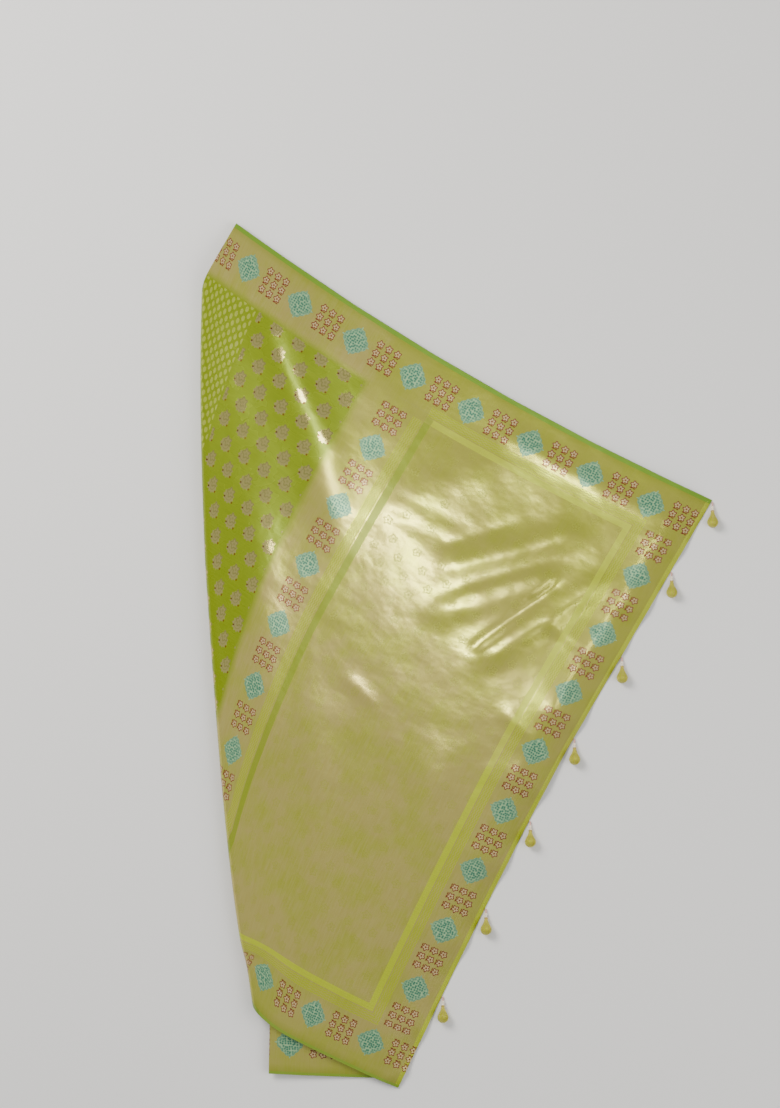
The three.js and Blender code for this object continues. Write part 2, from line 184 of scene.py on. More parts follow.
@dataclass
class FoldPlan:
    """Where every point of the cloth lies once it is folded. Lengths are in millimetres.

    Reach is measured in from the tasselled end edge, and drop down from the upper long edge.
    """

    left_reach: float = 915.0
    right_reach: Span = (72.0, 56.0)
    last_right_reach: float = 40.0
    last_turn: float = math.radians(24.0)
    last_leg_length: float = 180.0
    levels: tuple[float, ...] = (14.0, 11.5, 10.0, 8.5, 7.0, 4.5, 2.0, 0.5)
    source_thick: float = 1.0
    corner_reach: float = 915.0
    corner_drop: float = 94.0
    corner_slant: float = math.radians(32.8)
    corner_length: float = 1230.0
    corner_bow: float = 24.0
    corner_inner_radius: float = 2.0
    search_rounds: int = 6
    tuck_margin: float = 10.0
    tuck_clear: float = 1.2
    ramp_above: float = 250.0  # the slopes round the tucked corner
    ramp_below: float = 200.0
    top_edge_ramp: float = 90.0
    hem_ramp: float = 62.0
    hem_lift_drop: float = 528.0
    hem_lift_height: float = 5.0
    hem_lift_half_width: float = 42.0
    ripple_reach: float = 120.0
    edge_sag: float = 24.0  # how far the upper edge bows down
    sag_span: float = 930.0
    hem_lean: float = 40.0  # how far the hem's lower end stands out
    lean_from: float = 480.0
    lean_power: float = 1.3
    lower_draw: float = 12.0
    corner_pull: float = 19.0  # how far the corner fold is drawn in
    pull_along: float = 600.0
    pull_half: float = 420.0
    pull_depth: float = 150.0
    nook: Span = (300.0, 1085.0)  # where the lower edge is drawn up
    nook_lift: float = 34.0
    nook_half: Span = (48.0, 62.0)
    ridges: tuple[Crease, ...] = RIDGES
    creases: tuple[Crease, ...] = CREASES

    def __post_init__(self) -> None:
        """Works out the sizes that follow from the others."""
        self.sin, self.cos = math.sin(self.corner_slant), math.cos(self.corner_slant)
        self.top = self.levels[0]
        self.lowest_tucked = self.levels[5]
        self.lift = self.top - self.lowest_tucked + self.source_thick + self.tuck_clear
        self.tuck_foot = tuple(map(float, self.from_fold(self.corner_length, 0.0)))
        along, beyond = self.fold_measures(self.left_reach, CLOTH_WIDTH_MM)
        tip = self.bow(along) - (beyond - self.bend_arc(self.lowest_tucked))
        self.tuck_tip = tuple(map(float, self.from_fold(along, tip)))

    def bow(self, along: Array) -> Array:
        """How far the corner fold bulges outwards at each distance along it."""
        part = np.clip(along / self.corner_length, 0.0, 1.0)
        return 4.0 * self.corner_bow * part * (1.0 - part)

    def along_fold(self, reach: Array, drop: Array) -> Array:
        """The distance of each point along the corner fold."""
        return -(reach - self.corner_reach) * self.sin + (drop - self.corner_drop) * self.cos

    def fold_measures(self, reach: Array, drop: Array) -> tuple[Array, Array]:
        """Measures points by the corner fold.

        Args:
            reach, drop: the points.

        Returns:
            The distance along the fold, and how far beyond it each point lies.
        """
        along = self.along_fold(reach, drop)
        across = (reach - self.corner_reach) * self.cos + (drop - self.corner_drop) * self.sin
        return along, across - self.bow(along)

    def from_fold(self, along: Array, across: Array) -> tuple[Array, Array]:
        """Reach and drop of a point given in the corner fold's measures."""
        reach = self.corner_reach - along * self.sin + across * self.cos
        return reach, self.corner_drop + along * self.cos + across * self.sin

    def bend_radius(self, height: Array) -> Array:
        """How far the corner bend stands out sideways, at a level of the stack."""
        return self.corner_inner_radius + height - self.lowest_tucked

    def tucked_height(self, height: Array) -> Array:
        """The height of a level once it is tucked under."""
        return self.top + self.source_thick / 2.0 - height

    def bend_arc(self, height: Array) -> Array:
        """The length of cloth that the corner bend takes at a level of the stack."""
        half = (self.lift + height - self.tucked_height(height)) / 2.0
        return np.pi * (self.bend_radius(height) + half) / 2.0

    def reach_at_fold(self, drop: Array, beyond: Array) -> Array:
        """Finds the points at given drops that lie a given distance beyond the corner fold.

        Args:
            drop: of each point.
            beyond: the distance past the fold.

        Returns:
            The reach of each point.
        """
        reach = np.full_like(drop, self.corner_reach)
        rise = (drop - self.corner_drop) * self.sin
        for _ in range(self.search_rounds):
            bow = self.bow(self.along_fold(reach, drop))
            reach = self.corner_reach + (beyond + bow - rise) / self.cos
        return reach

    def outside(self, reach: Array, drop: Array, start: Span, end: Span) -> Array:
        """How far points lie outside one side of the tucked corner.

        Args:
            reach, drop: the points.
            start, end: the side's two ends, in reach and drop.

        Returns:
            The distance, below 0 for a point inside.
        """
        run_reach, run_drop = end[0] - start[0], end[1] - start[1]
        cross = run_reach * (drop - start[1]) - run_drop * (reach - start[0])
        return cross / math.hypot(run_reach, run_drop) - self.tuck_margin

    def stack_lift(self, reach: Array, drop: Array) -> Array:
        """How high the foot of the stack lies, over the tucked corner and the ramps round it.

        Args:
            reach, drop: the points.

        Returns:
            The height at each point.
        """
        above = self.outside(reach, drop, (self.corner_reach, self.corner_drop), self.tuck_tip)
        below = self.outside(reach, drop, self.tuck_tip, self.tuck_foot)
        ramps = ease_down(above, self.ramp_above) * ease_down(below, self.ramp_below)
        return self.lift * ramps * ease_up(drop, self.top_edge_ramp)

    def relief(self, reach: Array, drop: Array) -> Array:
        """The ridges, creases and ripples of the top layer.

        Args:
            reach, drop: the points.

        Returns:
            The height that they add together.
        """
        total = np.zeros(np.broadcast(reach, drop).shape)
        for crease in (*self.ridges, *self.creases):
            total = total + crease.rise(reach, drop)
        for at, height, half_width in HEM_RIPPLES:
            fade = ease_down(reach, self.ripple_reach)
            total = total + height * hump(drop - at, half_width) * fade
        return total

    def placed(self, reach: Array, drop: Array, height: Array) -> Array:
        """Takes points of the stack to their places, round the corner fold where they pass it.

        Args:
            reach, drop: the points of a layer before its corner is tucked.
            height: the layer's level in the stack.

        Returns:
            Reach, drop and height above the floor, in the last axis.
        """
        along, beyond = self.fold_measures(reach, drop)
        arc = self.bend_arc(height)
        bow = self.bow(along)
        tucked = self.tucked_height(height)
        under = self.from_fold(along, bow - beyond + arc)
        start = self.from_fold(along, bow)
        half = (self.stack_lift(*start) + height - tucked) / 2.0
        angle = np.pi * beyond / arc
        bend = self.from_fold(along, bow + self.bend_radius(height) * np.sin(angle))
        bend_height = tucked + half * (1.0 + np.cos(angle))
        ways = (
            (reach, under[0], bend[0]),
            (drop, under[1], bend[1]),
            (self.stack_lift(reach, drop) + height, tucked, bend_height),
        )
        parts = [
            np.where(beyond <= 0.0, flat, np.where(beyond >= arc, past, bent))
            for flat, past, bent in ways
        ]
        return np.stack(parts, axis=-1)

    def placed_on_top(
        self, reach: Array, drop: Array, height: Array, above_floor: Array
    ) -> Array:
        """Takes points of the top layer to their places, with its relief, and its hem on the floor.

        Args:
            reach, drop, height: the points, as in placed.
            above_floor: how high this face lies where the hem touches the floor.

        Returns:
            Reach, drop and height above the floor, in the last axis.
        """
        beyond = self.fold_measures(reach, drop)[1]
        fade = ease_down(beyond, self.bend_arc(height) / 2.0)
        point = self.placed(reach, drop, height)
        settled = ease_up(reach, self.hem_ramp)
        rise = self.hem_lift_height * hump(drop - self.hem_lift_drop, self.hem_lift_half_width)
        relief = fade * self.relief(reach, drop)
        point[..., 2] = settled * point[..., 2] + (1.0 - settled) * (rise + above_floor) + relief
        return point

    def laid(self, points: Array) -> Array:
        """Moves points of the stack to where they lie: edges sagged, hem leaning, fold drawn in.

        Args:
            points: reach, drop and height, in the last axis.

        Returns:
            The moved points, in the same order.
        """
        along, beyond = self.fold_measures(points[..., 0], points[..., 1])
        near_fold = hump(np.minimum(beyond, 0.0), self.pull_depth)
        pull = self.corner_pull * hump(along - self.pull_along, self.pull_half) * near_fold
        reach = points[..., 0] - pull * self.cos
        drop = points[..., 1] - pull * self.sin
        part = np.clip(reach / self.sag_span, 0.0, 1.0)
        low = np.maximum((drop - self.lean_from) / (CLOTH_WIDTH_MM - self.lean_from), 0.0)
        lean = self.hem_lean * low**self.lean_power
        sag = 4.0 * self.edge_sag * part * (1.0 - part)
        nook_reach = hump(reach - self.nook[0], self.nook_half[0])
        lift = self.nook_lift * (nook_reach * hump(drop - self.nook[1], self.nook_half[1]))
        up = lift * self.cos + self.lower_draw * low**2
        return np.stack([reach - lean + lift * self.sin, drop + sag - up, points[..., 2]], axis=-1)

    def last_right(self, drop: Array) -> Array:
        """The reach of the skewed last right fold."""
        return self.last_right_reach + (CLOTH_WIDTH_MM - drop) * math.tan(self.last_turn / 2.0)

    def last_leg(self, drop: Array) -> Array:
        """The length of the last layer but one, at each place of the width."""
        return self.last_leg_length + (CLOTH_WIDTH_MM - drop) * math.tan(self.last_turn / 2.0)

    def length_before_last(self) -> float:
        """The length of cloth in the layers above the last one."""
        rights = 2.0 * sum(self.right_reach) + self.last_right_reach
        return 6.0 * self.left_reach - rights + self.last_leg_length


def corners(*indices: Array) -> Array:
    """Rows of four vertices from four arrays, one for each corner."""
    return np.stack(indices, axis=-1).reshape(-1, 4)


@dataclass
class SareeCloth:
    """The one woven length of silk, folded as the plan says. Sizes are in millimetres."""

    plan: FoldPlan
    hem_x: float
    top_edge_y: float
    half_thick: float = 0.22
    rows: int = 150
    top_steps: int = 165
    open_steps: int = 6
    corner_steps: int = 8
    tuck_steps: int = 3
    turn_steps: int = 6
    swung_steps: int = 4
    least_step: float = 0.7
    edge_squeeze: float = 36.0  # the weave is drawn together by this much at the corner fold
    edge_span: float = 50.0
    sharp_angle: float = math.radians(70.0)

    def __post_init__(self) -> None:
        """Works out the drop of each row."""
        self.drops = np.linspace(0.0, CLOTH_WIDTH_MM, self.rows + 1)

    def heading(self, layer: int) -> int:
        """1 for a layer that runs to the left, and -1 for one that runs back to the right."""
        return 1 if layer % 2 == 0 else -1

    def to_frame(self, points: Array) -> Array:
        """Lays points of the stack and gives their places in the frame.

        Args:
            points: reach, drop and height, in the last axis.

        Returns:
            X, Y and Z in metres, in the last axis.
        """
        place = self.plan.laid(points) * MM
        place[..., 0] = self.hem_x - place[..., 0]
        place[..., 1] = self.top_edge_y - place[..., 1]
        return place

    def layer_columns(self, layer: int, side: Face, right: Array, before: float) -> list[Column]:
        """The columns of one layer that runs from a right fold, round the corner, to the left fold.

        Args:
            layer: its number, from 0 at the top.
            side: the face of the cloth.
            right: the reach of the layer's right end, for each row.
            before: the length of cloth in the layers above this one.

        Returns:
            The columns, in the order of the cloth's length.
        """
        drop, heading = self.drops, self.heading(layer)
        height = self.plan.levels[layer] + heading * side * self.half_thick
        opened = self.top_steps if layer == 0 else self.open_steps
        steps = opened + self.corner_steps + self.tuck_steps
        arc = self.plan.bend_arc(height)
        fold = self.plan.reach_at_fold(drop, 0.0)
        end = self.plan.reach_at_fold(drop, arc)
        columns = []
        for index in range(steps + 1):
            if index <= opened:
                reach = right + (fold - right) * index / opened
            elif index <= opened + self.corner_steps:
                reach = self.plan.reach_at_fold(drop, arc * (index - opened) / self.corner_steps)
            else:
                tucked = (index - opened - self.corner_steps) / self.tuck_steps
                reach = end + (self.plan.left_reach - end) * tucked
            reach = np.minimum(reach, self.plan.left_reach - (steps - index) * self.least_step)
            spent = reach - right if heading > 0 else self.plan.left_reach - reach
            columns.append((layer, reach, drop, np.full_like(drop, height), before + spent))
        return columns[::heading]

    def turn_columns(
        self, layer: int, side: Face, edge: tuple[Array, Array], outward: Span, spent: Array
    ) -> list[Column]:
        """The columns of the rounded fold from one layer down to the next.

        Args:
            layer, side: the upper layer's number, and the face of the cloth.
            edge: reach and drop of the fold's line.
            outward: the way that the fold bulges, in reach and drop.
            spent: the length of cloth up to the fold.

        Returns:
            The columns between the two layers.
        """
        above, below = self.plan.levels[layer], self.plan.levels[layer + 1]
        out = (above - below) / 2.0 + self.heading(layer) * side * self.half_thick
        columns = []
        for step in range(1, self.turn_steps):
            angle = math.pi * step / self.turn_steps
            reach = edge[0] + out * outward[0] * math.sin(angle)
            drop = edge[1] + out * outward[1] * math.sin(angle)
            height = np.full_like(reach, (above + below) / 2.0 + out * math.cos(angle))
            columns.append((layer, reach, drop, height, spent + 0.0 * reach))
        return columns

    def swung_columns(
        self, layer: int, side: Face, runs: Sequence[Array], spent: Sequence[Array]
    ) -> list[Column]:
        """The columns of one of the last two layers, which swing out at the lower left.

        Args:
            layer, side: the layer's number, and the face of the cloth.
            runs: the distance of each column from the skewed right fold.
            spent: the length of cloth up to each column.

        Returns:
            The columns.
        """
        drop, level = self.drops, self.plan.levels[layer]
        height = np.full_like(drop, level + self.heading(layer) * side * self.half_thick)
        turn = self.plan.last_turn
        right = self.plan.last_right(drop)
        return [
            (layer, right + run * math.cos(turn), drop + run * math.sin(turn), height, length)
            for run, length in zip(runs, spent)
        ]

    def columns(self, side: Face) -> list[Column]:
        """Every column of one face of the cloth.

        Args:
            side: the face.

        Returns:
            The columns, from the tasselled end to the other end.
        """
        plan, drop = self.plan, self.drops
        rights = (0.0, *(reach for reach in plan.right_reach for _ in range(2)))
        made, spent = [], 0.0
        for layer, reach in enumerate(rights):
            right = np.full_like(drop, reach)
            made += self.layer_columns(layer, side, right, spent)
            spent += plan.left_reach - reach
            heading = self.heading(layer)
            edge = np.full_like(drop, plan.left_reach) if heading > 0 else right
            made += self.turn_columns(layer, side, (edge, drop), (heading, 0.0), spent)
        skewed, swung, last = (len(rights) + after for after in range(3))
        last_right, leg = plan.last_right(drop), plan.last_leg(drop)
        made += self.layer_columns(skewed, side, last_right, spent)
        spent = spent + plan.left_reach - last_right
        half = plan.last_turn / 2.0
        outward = (-math.cos(half), -math.sin(half))
        made += self.turn_columns(skewed, side, (last_right, drop), outward, spent)
        last_span = CLOTH_LENGTH_MM - plan.length_before_last()
        parts = np.linspace(0.0, 1.0, self.swung_steps + 1)
        shared = [leg - last_span * (1.0 - part) for part in parts]
        runs = [0.0 * leg, 0.5 * shared[0], *shared]
        made += self.swung_columns(swung, side, runs, [spent + run for run in runs])
        swing = (math.cos(plan.last_turn), math.sin(plan.last_turn))
        edge = (last_right + leg * swing[0], drop + leg * swing[1])
        made += self.turn_columns(swung, side, edge, swing, spent + leg)
        back = shared[::-1]
        made += self.swung_columns(last, side, back, [spent + 2.0 * leg - run for run in back])
        return made

    def face(self, side: Face) -> tuple[Array, Array]:
        """Lays out one face of the cloth.

        Args:
            side: the face.

        Returns:
            The places of its vertices, and where each lies on the flat cloth.
        """
        plan = self.plan
        places, flat = [], []
        for layer, reach, drop, height, spent in self.columns(side):
            if layer == 0:
                above_floor = plan.source_thick / 2.0 + side * self.half_thick
                point = plan.placed_on_top(reach, drop, height, np.full_like(reach, above_floor))
                inside = np.maximum(-plan.fold_measures(reach, drop)[1], 0.0)
                spent = spent + self.edge_squeeze * np.exp(-inside / self.edge_span)
            else:
                point = plan.placed(reach, drop, height)
            places.append(point)
            flat.append(np.stack([spent, self.drops], axis=-1))
        return self.to_frame(np.array(places)), np.array(flat) * MM

    def build(self) -> bpy.types.Object:
        """Builds the closed mesh of the cloth, with its flat coordinates in its own map.

        Returns:
            The cloth's object.
        """
        faces = [self.face(side) for side in Face]
        places = np.concatenate([place.reshape(-1, 3) for place, _ in faces])
        flat = np.concatenate([where.reshape(-1, 2) for _, where in faces])
        columns, rows = faces[0][0].shape[:2]
        front = np.arange(columns * rows).reshape(columns, rows)
        back = front + columns * rows
        quads = np.concatenate(
            [
                corners(front[:-1, :-1], front[1:, :-1], front[1:, 1:], front[:-1, 1:]),
                corners(back[:-1, :-1], back[:-1, 1:], back[1:, 1:], back[1:, :-1]),
                corners(front[:-1, 0], back[:-1, 0], back[1:, 0], front[1:, 0]),
                corners(front[1:, -1], back[1:, -1], back[:-1, -1], front[:-1, -1]),
                corners(front[0, :-1], front[0, 1:], back[0, 1:], back[0, :-1]),
                corners(front[-1, 1:], front[-1, :-1], back[-1, :-1], back[-1, 1:]),
            ]
        )
        mesh = bpy.data.meshes.new("saree_cloth_woven")
        mesh.from_pydata(places.tolist(), [], quads.tolist())
        corner_vertex = np.empty(len(mesh.loops), dtype=np.int32)
        mesh.loops.foreach_get("vertex_index", corner_vertex)
        layer = mesh.uv_layers.new(name=WEAVE_MAP)
        layer.data.foreach_set("uv", flat[corner_vertex].ravel().astype(np.float32))
        mesh.polygons.foreach_set("use_smooth", np.ones(len(mesh.polygons), dtype=bool))
        mesh.set_sharp_from_angle(angle=self.sharp_angle)
        return new_object("saree_cloth_woven", mesh)

    def line_on_top(self, reach: float, drops: Array, above: float) -> list[tuple[float, ...]]:
        """A line over the top layer's upper face.

        Args:
            reach: of the whole line.
            drops: of its points.
            above: its distance from the face.

        Returns:
            The points, in metres.
        """
        height = self.plan.top + self.half_thick + above
        floor = self.plan.source_thick / 2.0 + self.half_thick + above
        level = [np.full_like(drops, value) for value in (reach, height, floor)]
        points = self.plan.placed_on_top(level[0], drops, level[1], level[2])
        return [tuple(point) for point in self.to_frame(points)]


@dataclass(frozen=True)
class Varying:
    """A number that varies over a surface: sums and products of it add Math nodes."""

    board: "NodeBoard"
    socket: bpy.types.NodeSocket

    def __add__(self, other: Number) -> "Varying":
        """Self plus other."""
        return self.board.math("ADD", self, other)

    def __sub__(self, other: Number) -> "Varying":
        """Self minus other."""
        return self.board.math("SUBTRACT", self, other)

    def __rsub__(self, other: Number) -> "Varying":
        """Other minus self."""
        return self.board.math("SUBTRACT", other, self)

    def __mul__(self, other: Number) -> "Varying":
        """Self times other."""
        return self.board.math("MULTIPLY", self, other)

    def __truediv__(self, other: Number) -> "Varying":
        """Self divided by other."""
        return self.board.math("DIVIDE", self, other)

    def __abs__(self) -> "Varying":
        """Self without its sign."""
        return self.board.math("ABSOLUTE", self)

    def __gt__(self, other: Number) -> "Varying":
        """1 where self is more than other, and 0 elsewhere."""
        return self.board.math("GREATER_THAN", self, other)

    __radd__, __rmul__ = __add__, __mul__

    def clamped(self) -> "Varying":
        """Self held between 0 and 1."""
        return self.board.math("ADD", self, 0.0, use_clamp=True)


class NodeBoard:
    """Makes the nodes of one tree, whether of a material or of a modifier."""

    def __init__(self, tree: bpy.types.NodeTree) -> None:
        """Starts on an emptied tree."""
        self.tree = tree
        tree.nodes.clear()

    def add(
        self, kind: str, settings: dict | None = None, inputs: dict | None = None
    ) -> bpy.types.Node:
        """Makes one node.

        Args:
            kind: the node's type.
            settings: its properties, which are set first.
            inputs: for each socket, by name or number, a value or what is linked to it.

        Returns:
            The new node.
        """
        node = self.tree.nodes.new(kind)
        for name, value in (settings or {}).items():
            setattr(node, name, value)
        for key, value in (inputs or {}).items():
            self.fill(node.inputs[key], value)
        return node

    def fill(self, socket: bpy.types.NodeSocket, value: object) -> None:
        """Gives a socket its value.

        Args:
            socket: what is filled.
            value: is linked if it is a socket or varies, and set otherwise.
        """
        if isinstance(value, Varying):
            value = value.socket
        if isinstance(value, bpy.types.NodeSocket):
            self.tree.links.new(value, socket)
        else:
            socket.default_value = value

    def math(self, operation: str, *values: Number, use_clamp: bool = False) -> Varying:
        """Makes a Math node.

        Args:
            operation: its operation.
            values: one to three of them.
            use_clamp: holds the result between 0 and 1.

        Returns:
            The result.
        """
        settings = {"operation": operation, "use_clamp": use_clamp}
        node = self.add("ShaderNodeMath", settings, dict(enumerate(values)))
        return Varying(self, node.outputs[0])

    def least(self, first: Number, second: Number) -> Varying:
        """The smaller of two values."""
        return self.math("MINIMUM", first, second)

    def most(self, first: Number, second: Number) -> Varying:
        """The larger of two values."""
        return self.math("MAXIMUM", first, second)

    def below(self, value: Varying, limit: float, soft: float = 0.6) -> Varying:
        """1 where value is below the limit and 0 above it, over a soft edge."""
        return self.math("MULTIPLY_ADD", value, -1.0 / soft, limit / soft + 0.5, use_clamp=True)

    def above(self, value: Varying, limit: float, soft: float = 0.6) -> Varying:
        """1 where value is above the limit and 0 below it, over a soft edge."""
        return self.math("MULTIPLY_ADD", value, 1.0 / soft, 0.5 - limit / soft, use_clamp=True)

    def band(self, value: Varying, low: float, high: float, soft: float = 0.6) -> Varying:
        """1 where value lies from low to high."""
        middle, half = (low + high) / 2.0, (high - low) / 2.0
        return self.below(abs(value - middle), half, soft)

    def from_nearest(self, value: Varying, pitch: float) -> tuple[Varying, Varying]:
        """The signed distance from the nearest multiple of the pitch, and which one it is."""
        which = self.math("ROUND", value / pitch)
        return value - which * pitch, which

    def staggered(
        self, across: Varying, along: Varying, row_pitch: float, spacing: float
    ) -> tuple[Varying, Varying]:
        """Repeats a motif in rows, every other row of which is shifted by half a spacing.

        Args:
            across, along: the place across the rows and along them.
            row_pitch, spacing: from row to row, and from motif to motif.

        Returns:
            The place from the nearest motif's middle, across the rows and along them.
        """
        out, row = self.from_nearest(across, row_pitch)
        run, _ = self.from_nearest(along + self.is_odd(row) * (spacing / 2.0), spacing)
        return out, run

    def is_odd(self, which: Varying) -> Varying:
        """1 for an odd whole number, and 0 for an even one."""
        return self.math("FLOORED_MODULO", which, 2.0)

    def length(self, first: Varying, second: Varying) -> Varying:
        """The length of the arrow with these two sides."""
        return self.math("SQRT", first * first + second * second)

    def angle(self, rise: Varying, run: Varying) -> Varying:
        """The angle of the arrow with these two sides."""
        return self.math("ARCTAN2", rise, run)

    def wave(self, value: Varying, turns: float) -> Varying:
        """A cosine with this many turns over each unit of value."""
        return self.math("COSINE", value * (2.0 * math.pi * turns))

    def choose(self, mask: Varying, here: Number, elsewhere: Number) -> Varying:
        """Here where the mask is 1, and elsewhere where it is 0."""
        node = self.add("ShaderNodeMix", {"data_type": "FLOAT"}, {0: mask, 2: elsewhere, 3: here})
        return Varying(self, node.outputs[0])

    def tint(self, mask: Number, base: object, colour: object) -> bpy.types.NodeSocket:
        """Colour where the mask is 1, and the base where it is 0."""
        settings = {"data_type": "RGBA", "blend_type": "MIX"}
        return self.add("ShaderNodeMix", settings, {0: mask, 6: base, 7: colour}).outputs[2]

    def layered(self, base: object, *layers: tuple[Varying, object]) -> object:
        """Lays colours over a base, in order.

        Args:
            base: the first colour.
            layers: a mask and a colour each.

        Returns:
            The colour of them all.
        """
        for mask, colour in layers:
            base = self.tint(mask, base, colour)
        return base

    def noise(
        self, vector: object, scale: float, detail: float = 2.0, roughness: float = 0.5
    ) -> Varying:
        """Smooth noise from 0 to 1."""
        inputs = {"Vector": vector, "Scale": scale, "Detail": detail, "Roughness": roughness}
        return Varying(self, self.add("ShaderNodeTexNoise", None, inputs).outputs[0])

    def spots(self, vector: object, scale: float) -> Varying:
        """Scatters spots.

        Args:
            vector: the place.
            scale: how many spots there are along one unit of it.

        Returns:
            The distance from the nearest spot, as a part of their spacing.
        """
        settings = {"voronoi_dimensions": "2D", "feature": "F1"}
        inputs = {"Vector": vector, "Scale": scale, "Randomness": 0.55}
        return Varying(self, self.add("ShaderNodeTexVoronoi", settings, inputs).outputs["Distance"])

    def stretched(self, vector: object, scales: Triple) -> bpy.types.NodeSocket:
        """The vector with each of its parts scaled."""
        inputs = {0: vector, 1: scales}
        return self.add("ShaderNodeVectorMath", {"operation": "MULTIPLY"}, inputs).outputs[0]


class Finish:
    """A material in the making: its board of nodes and its shader."""

    def __init__(self, name: str, **constants: object) -> None:
        """Makes the material with one shader.

        Args:
            name: the material's name.
            constants: the value of each of the shader's sockets that is the same all over.
        """
        self.material = bpy.data.materials.new(name)
        self.material.use_nodes = True
        self.board = NodeBoard(self.material.node_tree)
        inputs = {key.replace("_", " "): value for key, value in constants.items()}
        self.shader = self.board.add("ShaderNodeBsdfPrincipled", None, inputs)
        output = self.board.add("ShaderNodeOutputMaterial")
        self.board.fill(output.inputs["Surface"], self.shader.outputs[0])

    def feed(self, socket: str, value: object) -> None:
        """Gives one of the shader's sockets what varies over the surface."""
        self.board.fill(self.shader.inputs[socket], value)

    def bump(self, height: Varying, distance: float, strength: float = 1.0) -> None:
        """Raises the surface by height times the distance, for the light alone."""
        inputs = {"Height": height, "Distance": distance, "Strength": strength}
        self.feed("Normal", self.board.add("ShaderNodeBump", None, inputs).outputs[0])


@dataclass(frozen=True)
class SilkColours:
    """The yarns of the cloth."""

    lime: Colour = linear(126, 140, 10)
    lime_dark: Colour = linear(102, 120, 6)
    lime_bright: Colour = linear(176, 188, 0)
    gold: Colour = linear(176, 161, 84)
    gold_pale: Colour = linear(188, 176, 104)
    gold_green: Colour = linear(160, 163, 48)
    outline: Colour = linear(116, 120, 20)
    teal: Colour = linear(114, 162, 124)
    teal_dark: Colour = linear(22, 92, 76)
    teal_pale: Colour = linear(176, 200, 140)
    rose: Colour = linear(104, 28, 22)
    rose_dark: Colour = linear(104, 26, 16)
    rose_pale: Colour = linear(216, 186, 136)
    selvedge: Colour = linear(104, 144, 36)
    selvedge_dark: Colour = linear(82, 124, 26)
    butti: Colour = linear(190, 176, 106)
    dot: Colour = linear(180, 182, 84)


@dataclass(frozen=True)
class Mottle:
    """A yarn that shows in patches, where a noise is above a limit."""

    limit: float
    soft: float
    share: float

    def mask(self, board: NodeBoard, noise: Varying) -> Varying:
        """How much of the yarn shows."""
        return board.above(noise, self.limit, self.soft) * self.share


@dataclass(frozen=True)
class SilkSurface:
    """The cloth's sheen, grain and relief. Scales are in waves for each metre."""

    silk_shine: float = 0.35
    gold_shine: float = 0.2  # more than the silk's
    head_shine: float = 0.84
    plain_shine: float = 0.3
    roughness: float = 0.34
    roughness_less: float = 0.28  # where the yarn is all metal
    smooth_scale: float = 26.0
    smooth_share: float = 0.06
    patch_scale: float = 12.0
    patch_detail: float = 6.0
    patch_roughness: float = 0.62
    weft_scales: Triple = (420.0, 30.0, 1.0)
    warp_scales: Triple = (30.0, 700.0, 1.0)
    rumple_scales: Triple = (14.0, 18.0, 1.0)
    rumple_detail: float = 3.0
    rumple_roughness: float = 0.42
    green_patches: Mottle = Mottle(0.51, 0.16, 0.72)
    pale_weft: Mottle = Mottle(0.5, 0.3, 0.35)
    dark_warp: Mottle = Mottle(0.5, 0.4, 0.45)
    stripe_warp: Mottle = Mottle(0.5, 0.4, 0.4)
    pale_lace: Mottle = Mottle(0.62, 0.2, 0.5)
    weft_mm: float = 0.012
    warp_mm: float = 0.006
    rumple_mm: float = 2.2
    relief: float = 0.8


@dataclass(frozen=True)
class FlowerShape:
    """A five-petalled flower, in parts of its radius."""

    radius: float  # in millimetres
    petals: float = 5.0
    petal_middle: float = 0.84
    petal_depth: float = 0.16
    outline_half: float = 0.13
    eye: float = 0.24


@dataclass(frozen=True)
class HeadShape:
    """A flower head of the body: a notched leaf with a rib, a flower and two specks, in mm."""

    leaf_radius: float = 12.0
    leaf_place: Span = (1.8, 2.6)
    leaf_flatten: float = 1.1
    notches: float = 11.0
    notch_depth: float = 1.3
    rib_radius: float = 7.2
    rib_half: float = 0.45
    flower: FlowerShape = FlowerShape(9.6)
    flower_place: Span = (-0.6, -4.2)
    specks: tuple[Span, Span] = ((11.0, 6.2), (-9.1, 9.8))
    speck_radius: float = 1.5


@dataclass(frozen=True)
class LaceShape:
    """A lace diamond with lobed sides, in millimetres."""

    half: float = 25.5
    lobe_pitch: float = 13.5
    lobe_depth: float = 1.1
    trim: float = 1.6  # how far past its half a lobe may stand
    roundness: float = 0.28
    straightness: float = 0.76
    spot: float = 4.2
    knot: float = 0.36  # its radius, as a part of the spots' spacing
    rim: float = 1.6
    rim_half: float = 0.5


